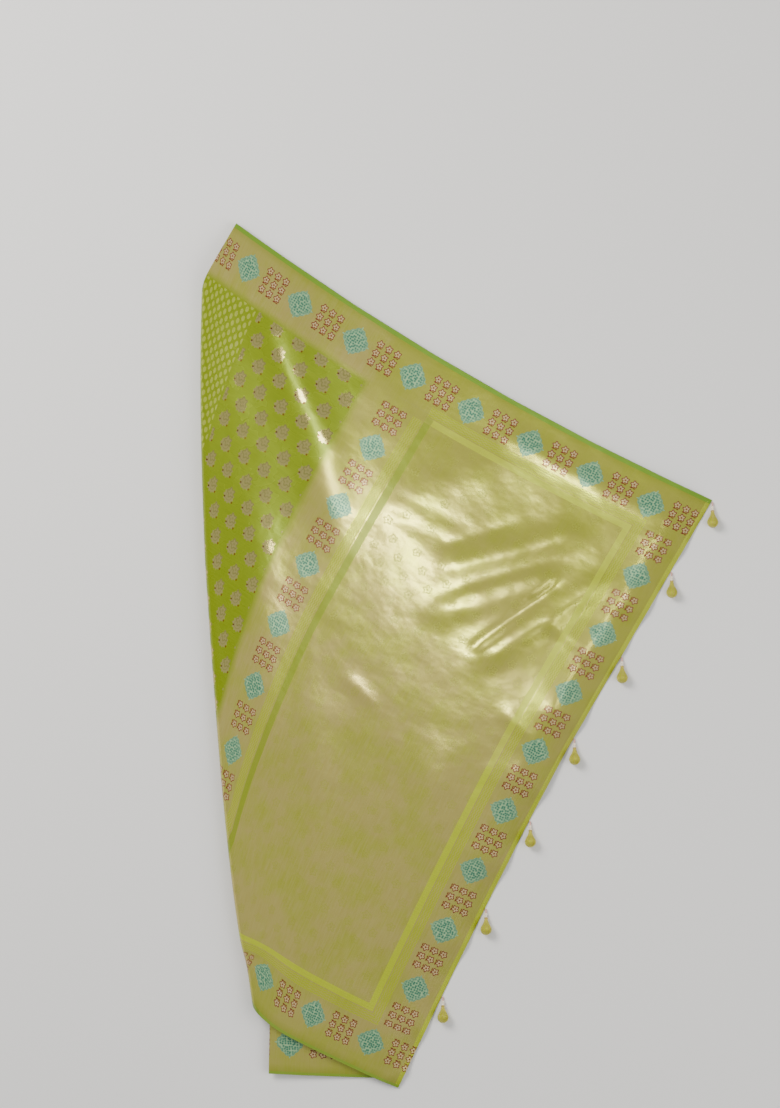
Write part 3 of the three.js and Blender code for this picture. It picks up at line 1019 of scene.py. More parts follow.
@dataclass(frozen=True)
class WovenPattern:
    """The sizes of the woven pattern, in millimetres along the cloth and across it."""

    border: float = 90.0
    border_soft: float = 14.0
    border_fade: float = 4.0
    panel_soft: float = 16.0
    edge_shade_width: float = 40.0  # painted shade: the gold is tinted greener near the side edges
    edge_shade_soft: float = 40.0
    upper_shade_slope: float = 0.4  # painted shade: the gold is tinted greener over the panel's upper part
    upper_shade_end: float = 470.0
    upper_shade_soft: float = 420.0
    hem_edge: float = 8.0
    stripe: Span = (95.0, 106.0)
    inner_stripe: Span = (467.0, 480.0)
    chevrons: Span = (77.0, 93.0)
    inner_chevrons: Span = (482.0, 500.0)
    chevron_pitch: float = 4.2
    zigzag: float = 3.5
    lower_spread: float = 8.0  # how much wider the lower border is
    inner_band_end: float = 592.0
    selvedge: float = 7.5
    selvedge_line: float = 3.2
    lower_selvedge_less: float = 2.6
    row_pitch: float = 112.0  # of a block and a diamond
    side_row: float = 50.0  # the middle of each row
    lower_side_row: float = 54.0
    end_row: float = 46.0
    inner_row: float = 533.0
    side_start: float = 198.0  # a diamond of each row
    lower_side_start: float = 76.0
    end_start: float = 56.0
    inner_start: float = 74.0
    lace: LaceShape = LaceShape()
    flower: FlowerShape = FlowerShape(7.2)
    flower_pitch: float = 16.4
    flower_drop: float = 1.2
    leaf_place: Span = (1.6, 5.4)
    leaf_radius: float = 1.5
    field_start: float = 128.0
    field_pitch: float = 46.0
    field_flower: FlowerShape = FlowerShape(8.5)
    butti_start: float = 18.0  # past the inner band, to the middle of a flower head
    butti_margin: float = 10.0
    butti_along: float = 46.0
    butti_across: float = 35.0
    head: HeadShape = HeadShape()
    buttis_from: float = 7.5
    buttis_end: float = 815.0
    dot_pitch: float = 16.6
    dot_radius: float = 4.1
    dots_after: float = 6.0


class SilkWeave(Finish):
    """The cloth's finish: coloured silk with metallic gold weft, woven by the pattern."""

    def __init__(self, pattern: WovenPattern, yarns: SilkColours, surface: SilkSurface) -> None:
        """Weaves the grounds, then each motif over them, and feeds the shader.

        Args:
            pattern: the motifs' sizes.
            yarns: their colours.
            surface: the cloth's sheen, grain and relief.
        """
        super().__init__("silk_weave", IOR=1.38)
        self.pattern, self.yarns, self.surface = pattern, yarns, surface
        board = self.board
        self.flat = board.add("ShaderNodeUVMap", {"uv_map": WEAVE_MAP}).outputs[0]
        parts = board.add("ShaderNodeSeparateXYZ", None, {0: self.flat})
        self.along = Varying(board, parts.outputs[0]) / MM
        self.across = Varying(board, parts.outputs[1]) / MM
        self.weft = board.noise(board.stretched(self.flat, surface.weft_scales), 1.0)
        self.warp = board.noise(board.stretched(self.flat, surface.warp_scales), 1.0)
        self.zones()
        self.grounds()
        self.field_buttis()
        self.body_buttis()
        self.body_dots()
        self.chevrons()
        self.plain_stripes()
        self.selvedges()
        self.border_rows()
        self.finish_surface()

    def dye(self, *layers: tuple[Varying, object]) -> None:
        """Weaves each layer's yarn over the colour so far by the layer's mask, in order."""
        self.colour = self.board.layered(self.colour, *layers)

    def zones(self) -> None:
        """Finds where the borders, the cross bands, the end panel and the body lie."""
        board, pattern = self.board, self.pattern
        stripe_end = pattern.stripe[1]
        self.lower = self.across > CLOTH_WIDTH_MM / 2.0
        self.edge = board.least(self.across, CLOTH_WIDTH_MM - self.across)
        inner_edge = self.edge - self.lower * pattern.lower_spread
        self.frame = board.least(inner_edge, self.along)
        self.in_panel = board.below(self.along, pattern.inner_band_end, pattern.panel_soft)
        self.in_side = board.below(self.edge, pattern.border, 1.0)
        self.in_body = board.above(self.edge, pattern.border + pattern.butti_margin, 1.0)
        border_end = pattern.border + pattern.border_fade
        body_border = board.below(self.edge, border_end, pattern.border_soft)
        self.metal = board.choose(self.in_panel, 1.0, body_border)
        beyond_frame = board.above(inner_edge, stripe_end, 1.0)
        before_stripe = board.below(self.along, pattern.inner_stripe[0])
        self.in_field = beyond_frame * before_stripe * board.above(self.along, stripe_end)
        inner_band = board.band(self.along, pattern.inner_stripe[1], pattern.inner_band_end)
        self.in_inner = inner_band * beyond_frame
        self.before_band = board.below(self.along, pattern.inner_stripe[1])
        frame_stripe = board.band(self.frame, *pattern.stripe) * self.before_band
        inner_stripe = board.band(self.along, *pattern.inner_stripe) * beyond_frame
        self.stripes = board.most(frame_stripe, inner_stripe)

    def grounds(self) -> None:
        """Weaves the gold of the panel and the borders, and the lime of the body, and paints shade
        that tints the gold greener near the side edges and over the panel's upper part.
        """
        board, pattern, yarns, surface = self.board, self.pattern, self.yarns, self.surface
        patches = board.noise(
            self.flat, surface.patch_scale, surface.patch_detail, surface.patch_roughness
        )
        # painted shade: the next masks tint the gold greener near the side edges and over the
        # panel's upper part
        edge_shade = board.below(self.edge, pattern.edge_shade_width, pattern.edge_shade_soft)
        slanted = self.across + self.along * pattern.upper_shade_slope
        upper = board.below(slanted, pattern.upper_shade_end, pattern.upper_shade_soft)
        gold = board.layered(
            yarns.gold,
            (surface.green_patches.mask(board, patches), yarns.gold_green),
            (surface.pale_weft.mask(board, self.weft), yarns.gold_pale),
            # painted shade: greener gold near the side edges and over the panel's upper part
            (self.metal * edge_shade * 0.3, yarns.gold_green),
            (upper * self.in_panel * 0.6, yarns.gold_green),
        )
        lime = board.tint(surface.dark_warp.mask(board, self.warp), yarns.lime, yarns.lime_dark)
        self.colour = board.tint(self.metal, lime, gold)
        self.shine = self.metal * surface.gold_shine + surface.silk_shine

    def flower(
        self, run: Varying, rise: Varying, shape: FlowerShape
    ) -> tuple[Varying, Varying, Varying]:
        """Draws a woven flower.

        Args:
            run, rise: the place from its middle.
            shape: its sizes.

        Returns:
            Its petals, its outlines, and its eye.
        """
        board, radius = self.board, shape.radius
        out = board.length(run, rise)
        lobes = board.math("COSINE", board.angle(rise, run) * shape.petals)
        past = out - (lobes * (shape.petal_depth * radius) + shape.petal_middle * radius)
        half = shape.outline_half * radius
        outline = board.below(abs(past + half), half, 0.7)
        return board.below(past, 0.0), outline, board.below(out, shape.eye * radius)

    def field_buttis(self) -> None:
        """Weaves the faint outlined flowers of the end panel's field."""
        board, pattern, yarns = self.board, self.pattern, self.yarns
        pitch = pattern.field_pitch
        start = self.along - pattern.field_start
        run, rise = board.staggered(start, self.across, pitch / 2.0, pitch)
        petals, outline, eye = self.flower(run, rise, pattern.field_flower)
        lines = board.most(outline, eye) * self.in_field
        self.dye((petals * self.in_field * 0.12, yarns.gold_green), (lines * 0.42, yarns.outline))
        self.shine = self.shine - lines * 0.22

    def body_buttis(self) -> None:
        """Weaves the gold flower heads of the body next to the panel."""
        board, pattern, yarns = self.board, self.pattern, self.yarns
        shape, start = pattern.head, pattern.inner_band_end
        rise, run = board.staggered(
            self.across,
            self.along - (start + pattern.butti_start),
            pattern.butti_across,
            pattern.butti_along,
        )
        leaf_run, leaf_rise = run - shape.leaf_place[0], rise - shape.leaf_place[1]
        leaf_out = board.length(leaf_run, leaf_rise * shape.leaf_flatten)
        notches = board.math("COSINE", board.angle(leaf_rise, leaf_run) * shape.notches)
        leaf = board.below(leaf_out - notches * shape.notch_depth, shape.leaf_radius)
        across, up = shape.flower_place
        petals, ring, eye = self.flower(run - across, rise - up, shape.flower)
        rib = board.below(abs(leaf_out - shape.rib_radius), shape.rib_half, 0.5) * (1.0 - petals)
        lengthwise = board.band(self.along, start + pattern.buttis_from, pattern.buttis_end, 1.0)
        where = lengthwise * self.in_body
        head = board.most(leaf, petals) * where
        specks = [
            board.below(board.length(run - x, rise - y), shape.speck_radius)
            for x, y in shape.specks
        ]
        self.dye(
            (head, yarns.butti),
            (board.most(ring * 0.45, rib * 0.5) * where, yarns.outline),
            (eye * where * 0.3, yarns.outline),
            (board.most(*specks) * where, yarns.rose_dark),
        )
        self.shine = board.choose(head, self.surface.head_shine, self.shine)

    def body_dots(self) -> None:
        """Weaves the small dots of the body after its flower heads."""
        board, pattern = self.board, self.pattern
        pitch = pattern.dot_pitch
        run, rise = board.staggered(self.along, self.across, pitch / 2.0, pitch)
        dots = board.below(board.length(run * 1.25, rise * 0.85), pattern.dot_radius)
        where = self.in_body * board.above(self.along, pattern.buttis_end + pattern.dots_after)
        self.dye((dots * where * 0.5, self.yarns.dot))

    def zigzag(self, out: Varying, run: Varying) -> Varying:
        """Fine zigzag lines that follow run, side by side along out, from -1 to 1."""
        bend = self.board.math("PINGPONG", run, self.pattern.zigzag) * 0.5
        return self.board.wave(out + bend, 1.0 / self.pattern.chevron_pitch)

    def chevrons(self) -> None:
        """Weaves the strips of fine zigzag lines."""
        board, pattern, yarns = self.board, self.pattern, self.yarns
        by_side = board.below(self.edge - self.along, 0.0)
        frame_lines = self.zigzag(self.frame, board.choose(by_side, self.along, self.across))
        in_frame = board.band(self.frame, *pattern.chevrons) * self.before_band
        inside = board.above(self.edge, pattern.stripe[1])
        in_inner = board.band(self.along, *pattern.inner_chevrons) * inside
        lines = board.choose(in_inner, self.zigzag(self.along, self.across), frame_lines)
        where, stroke = board.most(in_frame, in_inner), (lines * 1.5 + 0.4).clamped()
        gaps = where * (1.0 - stroke)
        self.dye((where * stroke * 0.75, yarns.lime_bright), (gaps * 0.42, yarns.outline))
        self.shine = self.shine - gaps * 0.35

    def plain_stripes(self) -> None:
        """Weaves the plain stripes round the field and the plain edge of the hem."""
        board, pattern, yarns = self.board, self.pattern, self.yarns
        stripe_end = pattern.stripe[1]
        plain = board.most(self.stripes, board.below(self.along, pattern.hem_edge))
        stripe = board.layered(
            yarns.lime_bright,
            (self.surface.stripe_warp.mask(board, self.warp), yarns.lime),
            (board.above(self.along, pattern.inner_stripe[0], 1.0) * 0.8, yarns.lime_dark),
        )
        inside = board.above(self.along, stripe_end) * board.above(self.edge, stripe_end)
        self.dye((plain * (board.most(self.lower, inside) * 0.25 + 0.55), stripe))
        self.shine = board.choose(plain, self.surface.plain_shine, self.shine)

    def selvedges(self) -> None:
        """Weaves the green edges of the cloth."""
        board, pattern, yarns = self.board, self.pattern, self.yarns
        lines = board.wave(self.edge, 1.0 / pattern.selvedge_line) * 0.5 + 0.5
        green = board.tint(lines * 0.4, yarns.selvedge, yarns.selvedge_dark)
        narrowed = self.edge + self.lower * pattern.lower_selvedge_less
        where = board.below(narrowed, pattern.selvedge, 1.5)
        beside = board.below(self.edge, 1.6 * pattern.selvedge, 12.0)
        self.dye((beside * 0.4, yarns.lime), (where * (0.9 - self.lower * 0.25), green))
        self.shine = board.choose(where, self.surface.plain_shine, self.shine)

    def border_rows(self) -> None:
        """Weaves the rows of flower blocks and lace diamonds of the borders and bands."""
        board, pattern = self.board, self.pattern
        side_row = board.choose(self.lower, pattern.lower_side_row, pattern.side_row)
        side_start = board.choose(self.lower, pattern.lower_side_start, pattern.side_start)
        by_end = board.below(self.along, pattern.border) * (1.0 - self.in_side)
        by_inner = self.in_inner * (1.0 - self.in_side)
        start = board.choose(by_end, pattern.end_start, pattern.inner_start)
        row = board.choose(by_end, pattern.end_row, pattern.inner_row)
        place = board.choose(self.in_side, self.along - side_start, self.across - start)
        rise = board.choose(self.in_side, self.edge - side_row, self.along - row)
        run, which = board.from_nearest(place, pattern.row_pitch / 2.0)
        where = board.most(self.in_side, board.most(by_end, by_inner))
        is_block = board.is_odd(which) * where
        diamond = self.lace_diamonds(run, rise, where - is_block)
        drawn = board.most(diamond, self.flower_blocks(run, rise, is_block))
        self.shine = board.choose(drawn, self.surface.plain_shine, self.shine)

    def lace_diamonds(self, run: Varying, rise: Varying, where: Varying) -> Varying:
        """Weaves a lace diamond with lobed sides and scattered knots.

        Args:
            run, rise: the place from its middle.
            where: 1 where there is a diamond.

        Returns:
            The diamond's mask.
        """
        board, shape, yarns = self.board, self.pattern.lace, self.yarns
        straight = (abs(run) + abs(rise)) * shape.straightness
        out = board.length(run, rise) * shape.roundness + straight
        turns = 1.0 / shape.lobe_pitch
        lobes = board.wave(run + rise, turns) + board.wave(run - rise, turns)
        past = out - lobes * shape.lobe_depth - shape.half
        diamond = board.below(past, 0.0, 0.8) * board.below(out, shape.half + shape.trim) * where
        spots = board.spots(self.flat, 1.0 / (shape.spot * MM))
        knots = board.below(spots, shape.knot, 0.18) * board.below(past, -1.0, 16.0)
        rim = board.below(abs(past + shape.rim), shape.rim_half, 0.6) * 0.6
        self.dye(
            (diamond * 0.86, yarns.teal),
            (diamond * self.surface.pale_lace.mask(board, spots), yarns.teal_pale),
            (diamond * board.most(knots, rim) * 0.85, yarns.teal_dark),
        )
        return diamond

    def flower_blocks(self, run: Varying, rise: Varying, where: Varying) -> Varying:
        """Weaves a block of three by three small flowers, each with a leaf on both sides.

        Args:
            run, rise: the place from its middle.
            where: 1 where there is a block.

        Returns:
            The mask of the flowers' outlines, leaves and eyes.
        """
        board, pattern, yarns = self.board, self.pattern, self.yarns
        column, which_column = board.from_nearest(run, pattern.flower_pitch)
        row, which_row = board.from_nearest(rise, pattern.flower_pitch)
        middle_three = [board.below(abs(which), 1.5, 0.1) for which in (which_column, which_row)]
        near = middle_three[0] * middle_three[1] * where
        petals, outline, eye = self.flower(column, row + pattern.flower_drop, pattern.flower)
        aside, up = pattern.leaf_place
        leaf_out = board.length(abs(column) * 0.6 - aside, (row - up) * 1.3)
        leaf = board.below(leaf_out, pattern.leaf_radius)
        self.dye(
            (petals * near * 0.75, yarns.rose_pale),
            (outline * near, yarns.rose),
            (board.most(eye, leaf) * near * 0.9, yarns.rose_dark),
        )
        return board.most(board.most(outline, leaf), eye) * near

    def finish_surface(self) -> None:
        """Feeds the shader: the colour, the metallic yarn, and the weave's small relief."""
        board, surface = self.board, self.surface
        self.feed("Base Color", self.colour)
        self.feed("Metallic", self.shine)
        smooth = board.noise(self.flat, surface.smooth_scale) * surface.smooth_share
        self.feed("Roughness", surface.roughness - self.shine * surface.roughness_less + smooth)
        stretched = board.stretched(self.flat, surface.rumple_scales)
        rumple = board.noise(stretched, 1.0, surface.rumple_detail, surface.rumple_roughness)
        grain = self.weft * surface.weft_mm + self.warp * surface.warp_mm
        self.bump(grain + rumple * surface.rumple_mm, MM, surface.relief)


# The bulb from its neck: parts of its length, and its widths there as parts of the widest.
BULB_PLACES = (0.0, 0.08, 0.2, 0.32, 0.43, 0.54, 0.66, 0.75, 0.83, 0.9, 0.95, 0.985, 1.0)
BULB_WIDTHS = (0.26, 0.27, 0.36, 0.51, 0.7, 0.89, 1.0, 0.97, 0.88, 0.73, 0.56, 0.36, 0.2)

# The collar over the neck of the bulb: places along it and radii there, in millimetres.
COLLAR = ((0.0, 0.8), (0.4, 2.9), (1.6, 3.4), (2.8, 2.9), (3.2, 1.2))


class Repeater:
    """A Geometry Nodes tree in the making, with named sizes as its inputs."""

    def __init__(self, name: str, sizes: dict[str, float]) -> None:
        """Makes the tree, its geometry sockets and one input for each size.

        Args:
            name: the tree's name.
            sizes: each input's name and value. A whole number is a count.
        """
        self.tree = bpy.data.node_groups.new(name, "GeometryNodeTree")
        face = self.tree.interface
        face.new_socket("Geometry", in_out="INPUT", socket_type="NodeSocketGeometry")
        face.new_socket("Geometry", in_out="OUTPUT", socket_type="NodeSocketGeometry")
        self.identifiers = {}
        for size, value in sizes.items():
            kind = "NodeSocketInt" if isinstance(value, int) else "NodeSocketFloat"
            socket = face.new_socket(size, in_out="INPUT", socket_type=kind)
            self.identifiers[socket.identifier] = value
        self.board = NodeBoard(self.tree)
        self.given = self.board.add("NodeGroupInput").outputs

    def tubes(self, curves: object, radius: object, sides: int) -> bpy.types.NodeSocket:
        """Lays round closed threads along curves.

        Args:
            curves: the curves' socket.
            radius: of a thread.
            sides: how many faces there are round it.

        Returns:
            The threads' socket.
        """
        inputs = {"Resolution": sides, "Radius": radius}
        circle = self.board.add("GeometryNodeCurvePrimitiveCircle", None, inputs)
        inputs = {0: curves, "Profile Curve": circle.outputs[0], "Fill Caps": True}
        return self.board.add("GeometryNodeCurveToMesh", None, inputs).outputs[0]

    def close(self, geometry: object, material: bpy.types.Material) -> None:
        """Ends the tree.

        Args:
            geometry: what becomes real geometry, shaded smooth.
            material: what it is made of.
        """
        real = self.board.add("GeometryNodeRealizeInstances", None, {0: geometry}).outputs[0]
        smooth = self.board.add("GeometryNodeSetShadeSmooth", None, {0: real}).outputs[0]
        inputs = {"Geometry": smooth, "Material": material}
        made = self.board.add("GeometryNodeSetMaterial", None, inputs).outputs[0]
        self.board.add("NodeGroupOutput", None, {0: made})

    def mesh_from(self, points: Sequence[Sequence[float]]) -> bpy.types.Mesh:
        """Runs the tree on a line.

        Args:
            points: the line's, in metres.

        Returns:
            The plain mesh.
        """
        line = bpy.data.meshes.new(self.tree.name)
        links = [(index, index + 1) for index in range(len(points) - 1)]
        line.from_pydata([tuple(point) for point in points], links, [])
        carrier = new_object(self.tree.name, line)
        modifier = carrier.modifiers.new("repeat", "NODES")
        modifier.node_group = self.tree
        for identifier, value in self.identifiers.items():
            modifier[identifier] = value
        evaluated = carrier.evaluated_get(bpy.context.evaluated_depsgraph_get())
        made = bpy.data.meshes.new_from_object(evaluated)
        bpy.data.objects.remove(carrier)
        bpy.data.meshes.remove(line)
        return made


def turned_profile(profile: Sequence[tuple[float, float]], sides: int, name: str) -> bpy.types.Mesh:
    """A closed solid of revolution about Z.

    Args:
        profile: height and radius pairs, from the foot up, between the two poles.
        sides: how many faces there are round the axis.
        name: the mesh's name.

    Returns:
        The mesh.
    """
    angles = np.arange(sides) * 2.0 * math.pi / sides
    ring = np.stack([np.cos(angles), np.sin(angles), np.zeros(sides)], axis=-1)
    places = [ring * (radius, radius, 1.0) + (0.0, 0.0, at) for at, radius in profile]
    places.append([(0.0, 0.0, profile[0][0]), (0.0, 0.0, profile[-1][0])])
    foot = len(profile) * sides
    faces = []
    for level in range(len(profile) - 1):
        for side in range(sides):
            here, there = level * sides + side, level * sides + (side + 1) % sides
            faces.append((here, there, there + sides, here + sides))
    last = (len(profile) - 1) * sides
    for side in range(sides):
        after = (side + 1) % sides
        faces.append((after, side, foot))
        faces.append((last + side, last + after, foot + 1))
    mesh = bpy.data.meshes.new(name)
    mesh.from_pydata(np.concatenate(places).tolist(), [], faces)
    mesh.polygons.foreach_set("use_smooth", [True] * len(faces))
    return mesh


@dataclass(frozen=True)
class ThreadFinish:
    """Wound or twisted thread, or a bead: a colour, its spread, and its sheen."""

    name: str
    colour: Colour
    shade: Colour
    metallic: float
    roughness: float
    strand_scale: float = 2600.0  # in waves for each metre, like the next
    broad_scale: float = 160.0
    strand_share: float = 0.6
    strand_height: float = 0.2 * MM

    def build(self) -> bpy.types.Material:
        """Makes the material, with fine strands and a broken colour.

        Returns:
            The material.
        """
        finish = Finish(self.name, Metallic=self.metallic, Sheen_Weight=0.3)
        board = finish.board
        place = board.add("ShaderNodeTexCoord").outputs["Object"]
        strands = board.noise(place, self.strand_scale)
        broad = board.noise(place, self.broad_scale, 1.0)
        lit = strands * self.strand_share + broad * (1.0 - self.strand_share)
        finish.feed("Base Color", board.tint(lit, self.shade, self.colour))
        finish.feed("Roughness", strands * 0.2 + self.roughness)
        finish.bump(strands, self.strand_height, 0.5)
        return finish.material


@dataclass
class TasselRow:
    """The seven tassels of the end edge, each a cord, a bead and a thread-wrapped bulb.

    Lengths are in millimetres along a tassel from the hem.
    """

    cloth: SareeCloth
    drops: tuple[float, ...] = (3.0, 138.0, 302.0, 459.0, 615.0, 780.0, 946.0)
    gap: float = 0.4
    slant: float = math.radians(60.0)
    cord_length: float = 15.0
    cord_radius: float = 1.5
    twists: float = 3.5
    bead_at: float = 9.0
    bead_radius: float = 2.6
    small_bead: float = 0.72  # its width as a part of the bead's
    collar_overlap: float = 1.2
    bulb_radius: float = 9.2
    bulb_length: float = 28.0
    bulb_middle: float = 33.5
    bulb_rest: float = 9.5  # the height of its middle where it lies on the floor
    threads: int = 44
    gold_threads: int = 11
    thread_radius: float = 0.42

    def bulb_profile(self, spare: float = 0.0) -> list[tuple[float, float]]:
        """The side of the teardrop.

        Args:
            spare: a thickness that is left for the threads, in millimetres.

        Returns:
            Height and radius pairs from the neck, in metres.
        """
        return [
            (
                (self.cord_length + place * self.bulb_length) * MM,
                (width * self.bulb_radius - spare) * MM,
            )
            for place, width in zip(BULB_PLACES, BULB_WIDTHS)
        ]

    def cord(self, material: bpy.types.Material) -> bpy.types.Mesh:
        """Twists two strands round each other.

        Args:
            material: of the strands.

        Returns:
            The cord's mesh, along +Z from the hem.
        """
        strand = 0.55 * self.cord_radius
        sizes = {
            "Length": (self.cord_length + 1.0) * MM,
            "Strand radius": strand * MM,
            "Twist radius": (self.cord_radius - strand) * MM,
            "Twists": self.twists,
        }
        tree = Repeater("twisted_cord", sizes)
        inputs = {
            "Resolution": 14,
            "Rotations": tree.given["Twists"],
            "Start Radius": tree.given["Twist radius"],
            "End Radius": tree.given["Twist radius"],
            "Height": tree.given["Length"],
        }
        first = tree.board.add("GeometryNodeCurveSpiral", None, inputs).outputs[0]
        turn = {"Geometry": first, "Rotation": (0.0, 0.0, math.pi)}
        second = tree.board.add("GeometryNodeTransform", None, turn).outputs[0]
        both = tree.board.add("GeometryNodeJoinGeometry")
        for strand_curve in (first, second):
            tree.tree.links.new(strand_curve, both.inputs[0])
        tree.close(tree.tubes(both.outputs[0], tree.given["Strand radius"], 8), material)
        return tree.mesh_from([(0.0, 0.0, 0.0), (0.0, 0.0, MM)])

    def windings(
        self, material: bpy.types.Material, count: int, spare: float, name: str
    ) -> bpy.types.Mesh:
        """Lays threads down the bulb from its neck to its foot, side by side all round.

        Args:
            material: of the threads.
            count: how many there are.
            spare: how deep their middles lie in the bulb, in millimetres.
            name: the mesh's name.

        Returns:
            The threads' mesh.
        """
        tree = Repeater(name, {"Threads": count, "Thread radius": self.thread_radius * MM})
        board = tree.board
        line = board.add("GeometryNodeMeshToCurve", None, {0: tree.given["Geometry"]}).outputs[0]
        inputs = {"Count": tree.given["Threads"], "Offset": (0.0, 0.0, 0.0)}
        points = board.add("GeometryNodeMeshLine", None, inputs)
        index = Varying(board, board.add("GeometryNodeInputIndex").outputs[0])
        turn = index * (2.0 * math.pi) / Varying(board, tree.given["Threads"])
        rotation = board.add("ShaderNodeCombineXYZ", None, {2: turn}).outputs[0]
        inputs = {"Points": points.outputs[0], "Instance": line, "Rotation": rotation}
        spread = board.add("GeometryNodeInstanceOnPoints", None, inputs).outputs[0]
        real = board.add("GeometryNodeRealizeInstances", None, {0: spread}).outputs[0]
        tree.close(tree.tubes(real, tree.given["Thread radius"], 5), material)
        return tree.mesh_from([(radius, 0.0, at) for at, radius in self.bulb_profile(spare)])

    def template(self) -> bpy.types.Mesh:
        """Makes one tassel along +Z from the hem, its parts in their own materials.

        Returns:
            The tassel's mesh.
        """
        pink, pink_shade = linear(226, 182, 168), linear(190, 128, 116)
        pearl, pearl_shade = linear(246, 236, 214), linear(228, 208, 178)
        lime, lime_shade = linear(204, 200, 40), linear(164, 166, 14)
        gold, gold_shade = linear(222, 196, 104), linear(186, 156, 70)
        finishes = [
            ThreadFinish("cord_thread", pink, pink_shade, 0.0, 0.5).build(),
            ThreadFinish("pearl_bead", pearl, pearl_shade, 0.15, 0.2, 900.0).build(),
            ThreadFinish("bulb_thread", lime, lime_shade, 0.25, 0.34).build(),
            ThreadFinish("gold_thread", gold, gold_shade, 0.6, 0.3).build(),
        ]
        at, radius = self.bead_at * MM, self.bead_radius * MM
        arcs = [math.pi * step / 12 for step in range(1, 12)]
        bead = [(at - radius * math.cos(arc), radius * math.sin(arc)) for arc in arcs]
        small = [(height + 1.5 * radius, self.small_bead * width) for height, width in bead]
        collar_at = self.cord_length - self.collar_overlap
        collar = [((collar_at + along) * MM, width * MM) for along, width in COLLAR]
        parts = [
            (self.cord(finishes[0]), 0),
            (turned_profile(bead, 20, "bead"), 1),
            (turned_profile(small, 16, "small_bead"), 1),
            (turned_profile(collar, 20, "collar"), 3),
            (turned_profile(self.bulb_profile(0.3), 36, "bulb"), 2),
            (self.windings(finishes[2], self.threads, 0.2, "bulb_windings"), 2),
            (self.windings(finishes[3], self.gold_threads, 0.02, "gold_windings"), 3),
        ]
        joined = bpy.data.meshes.new("tassel")
        for finish in finishes:
            joined.materials.append(finish)
        places, faces, slots = [], [], []
        for mesh, slot in parts:
            first = len(places)
            places += [tuple(vertex.co) for vertex in mesh.vertices]
            faces += [tuple(first + index for index in face.vertices) for face in mesh.polygons]
            slots += [slot] * len(mesh.polygons)
        joined.from_pydata(places, [], faces)
        joined.polygons.foreach_set("material_index", slots)
        joined.polygons.foreach_set("use_smooth", [True] * len(faces))
        joined.update()
        return joined

    def build(self) -> list[bpy.types.Object]:
        """Makes every tassel where it hangs from the hem and lies on the floor.

        Returns:
            The tassels' objects.
        """
        template = self.template()
        tilt = math.asin((self.bulb_rest - self.cord_radius) / self.bulb_middle)
        flat = math.cos(tilt)
        way = Vector((flat * math.cos(self.slant), -flat * math.sin(self.slant), math.sin(tilt)))
        turn = way.to_track_quat("Z", "Y").to_matrix().to_4x4()
        pieces = []
        for number, drop in enumerate(self.drops, start=1):
            place = self.cloth.to_frame(np.array([0.0, drop, self.cord_radius]))
            place[0] += (self.gap + self.cord_radius) * MM
            mesh = template.copy()
            mesh.transform(Matrix.Translation(Vector(place.tolist())) @ turn)
            piece = new_object(f"tassel_{number}_wound", mesh)
            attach(piece, "root")
            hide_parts(f"tassel_{number}")
            pieces.append(piece)
        return pieces


@dataclass
class HemStitches:
    """The row of small running stitches that holds the rolled hem of the end edge."""

    cloth: SareeCloth
    reach: float = 5.5
    spacing: float = 4.6
    stitch_length: float = 2.8
    thread_radius: float = 0.28
    margin: float = 6.0
    line_points: int = 300
    lift: float = 0.05

    def build(self) -> bpy.types.Object:
        """Makes all the stitches, along the top face of the hem.

        Returns:
            The stitches' object.
        """
        thread, shade = linear(206, 206, 92), linear(176, 180, 60)
        finish = ThreadFinish("hem_thread", thread, shade, 0.1, 0.45).build()
        sizes = {
            "Spacing": self.spacing * MM,
            "Half length": 0.5 * self.stitch_length * MM,
            "Thread radius": self.thread_radius * MM,
        }
        tree = Repeater("hem_stitches", sizes)
        board = tree.board
        line = board.add("GeometryNodeMeshToCurve", None, {0: tree.given["Geometry"]}).outputs[0]
        inputs = {"Curve": line, "Length": tree.given["Spacing"]}
        spaced = board.add("GeometryNodeResampleCurve", {"mode": "LENGTH"}, inputs).outputs[0]
        inputs = {"Segments": 6, "Rings": 5, "Radius": 1.0}
        ball = board.add("GeometryNodeMeshUVSphere", None, inputs).outputs[0]
        radius = tree.given["Thread radius"]
        inputs = {0: tree.given["Half length"], 1: radius, 2: radius}
        scale = board.add("ShaderNodeCombineXYZ", None, inputs).outputs[0]
        tangent = {"Vector": board.add("GeometryNodeInputTangent").outputs[0]}
        facing = board.add("FunctionNodeAlignRotationToVector", {"axis": "X"}, tangent).outputs[0]
        inputs = {"Points": spaced, "Instance": ball, "Rotation": facing, "Scale": scale}
        tree.close(board.add("GeometryNodeInstanceOnPoints", None, inputs).outputs[0], finish)
        drops = np.linspace(self.margin, CLOTH_WIDTH_MM - self.margin, self.line_points)
        mesh = tree.mesh_from(self.cloth.line_on_top(self.reach, drops, self.lift))
        stitches = new_object("hem_stitches", mesh)
        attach(stitches, "root")
        return stitches


@dataclass(frozen=True)
class GlintStrip:
    """A strip light over the cloth that shows only as its glint. Lengths are in metres."""

    length: float
    width: float
    power: float
    turn: float  # in the picture, in degrees
    place: Triple  # right of the picture's middle, above it in the picture, and over the floor

    def build(self, name: str, middle: Vector, view_turn: float) -> bpy.types.Object:
        """Hangs the strip over the cloth.

        Args:
            middle: the point of the floor at the middle of the picture.
            view_turn: how the picture is turned on the floor.

        Returns:
            The light's object.
        """
        data = bpy.data.lights.new(name, "AREA")
        data.shape = "RECTANGLE"
        data.size, data.size_y, data.energy = self.length, self.width, self.power
        strip = new_object(name, data)
        right = Vector((math.cos(view_turn), math.sin(view_turn), 0.0))
        up = Vector((-right.y, right.x, 0.0))
        aside, above, high = self.place
        strip.location = middle + right * aside + up * above + Vector((0.0, 0.0, high))
        strip.rotation_euler = (0.0, 0.0, view_turn + math.radians(self.turn))
        strip.visible_camera = False
        strip.visible_diffuse = False
        return strip


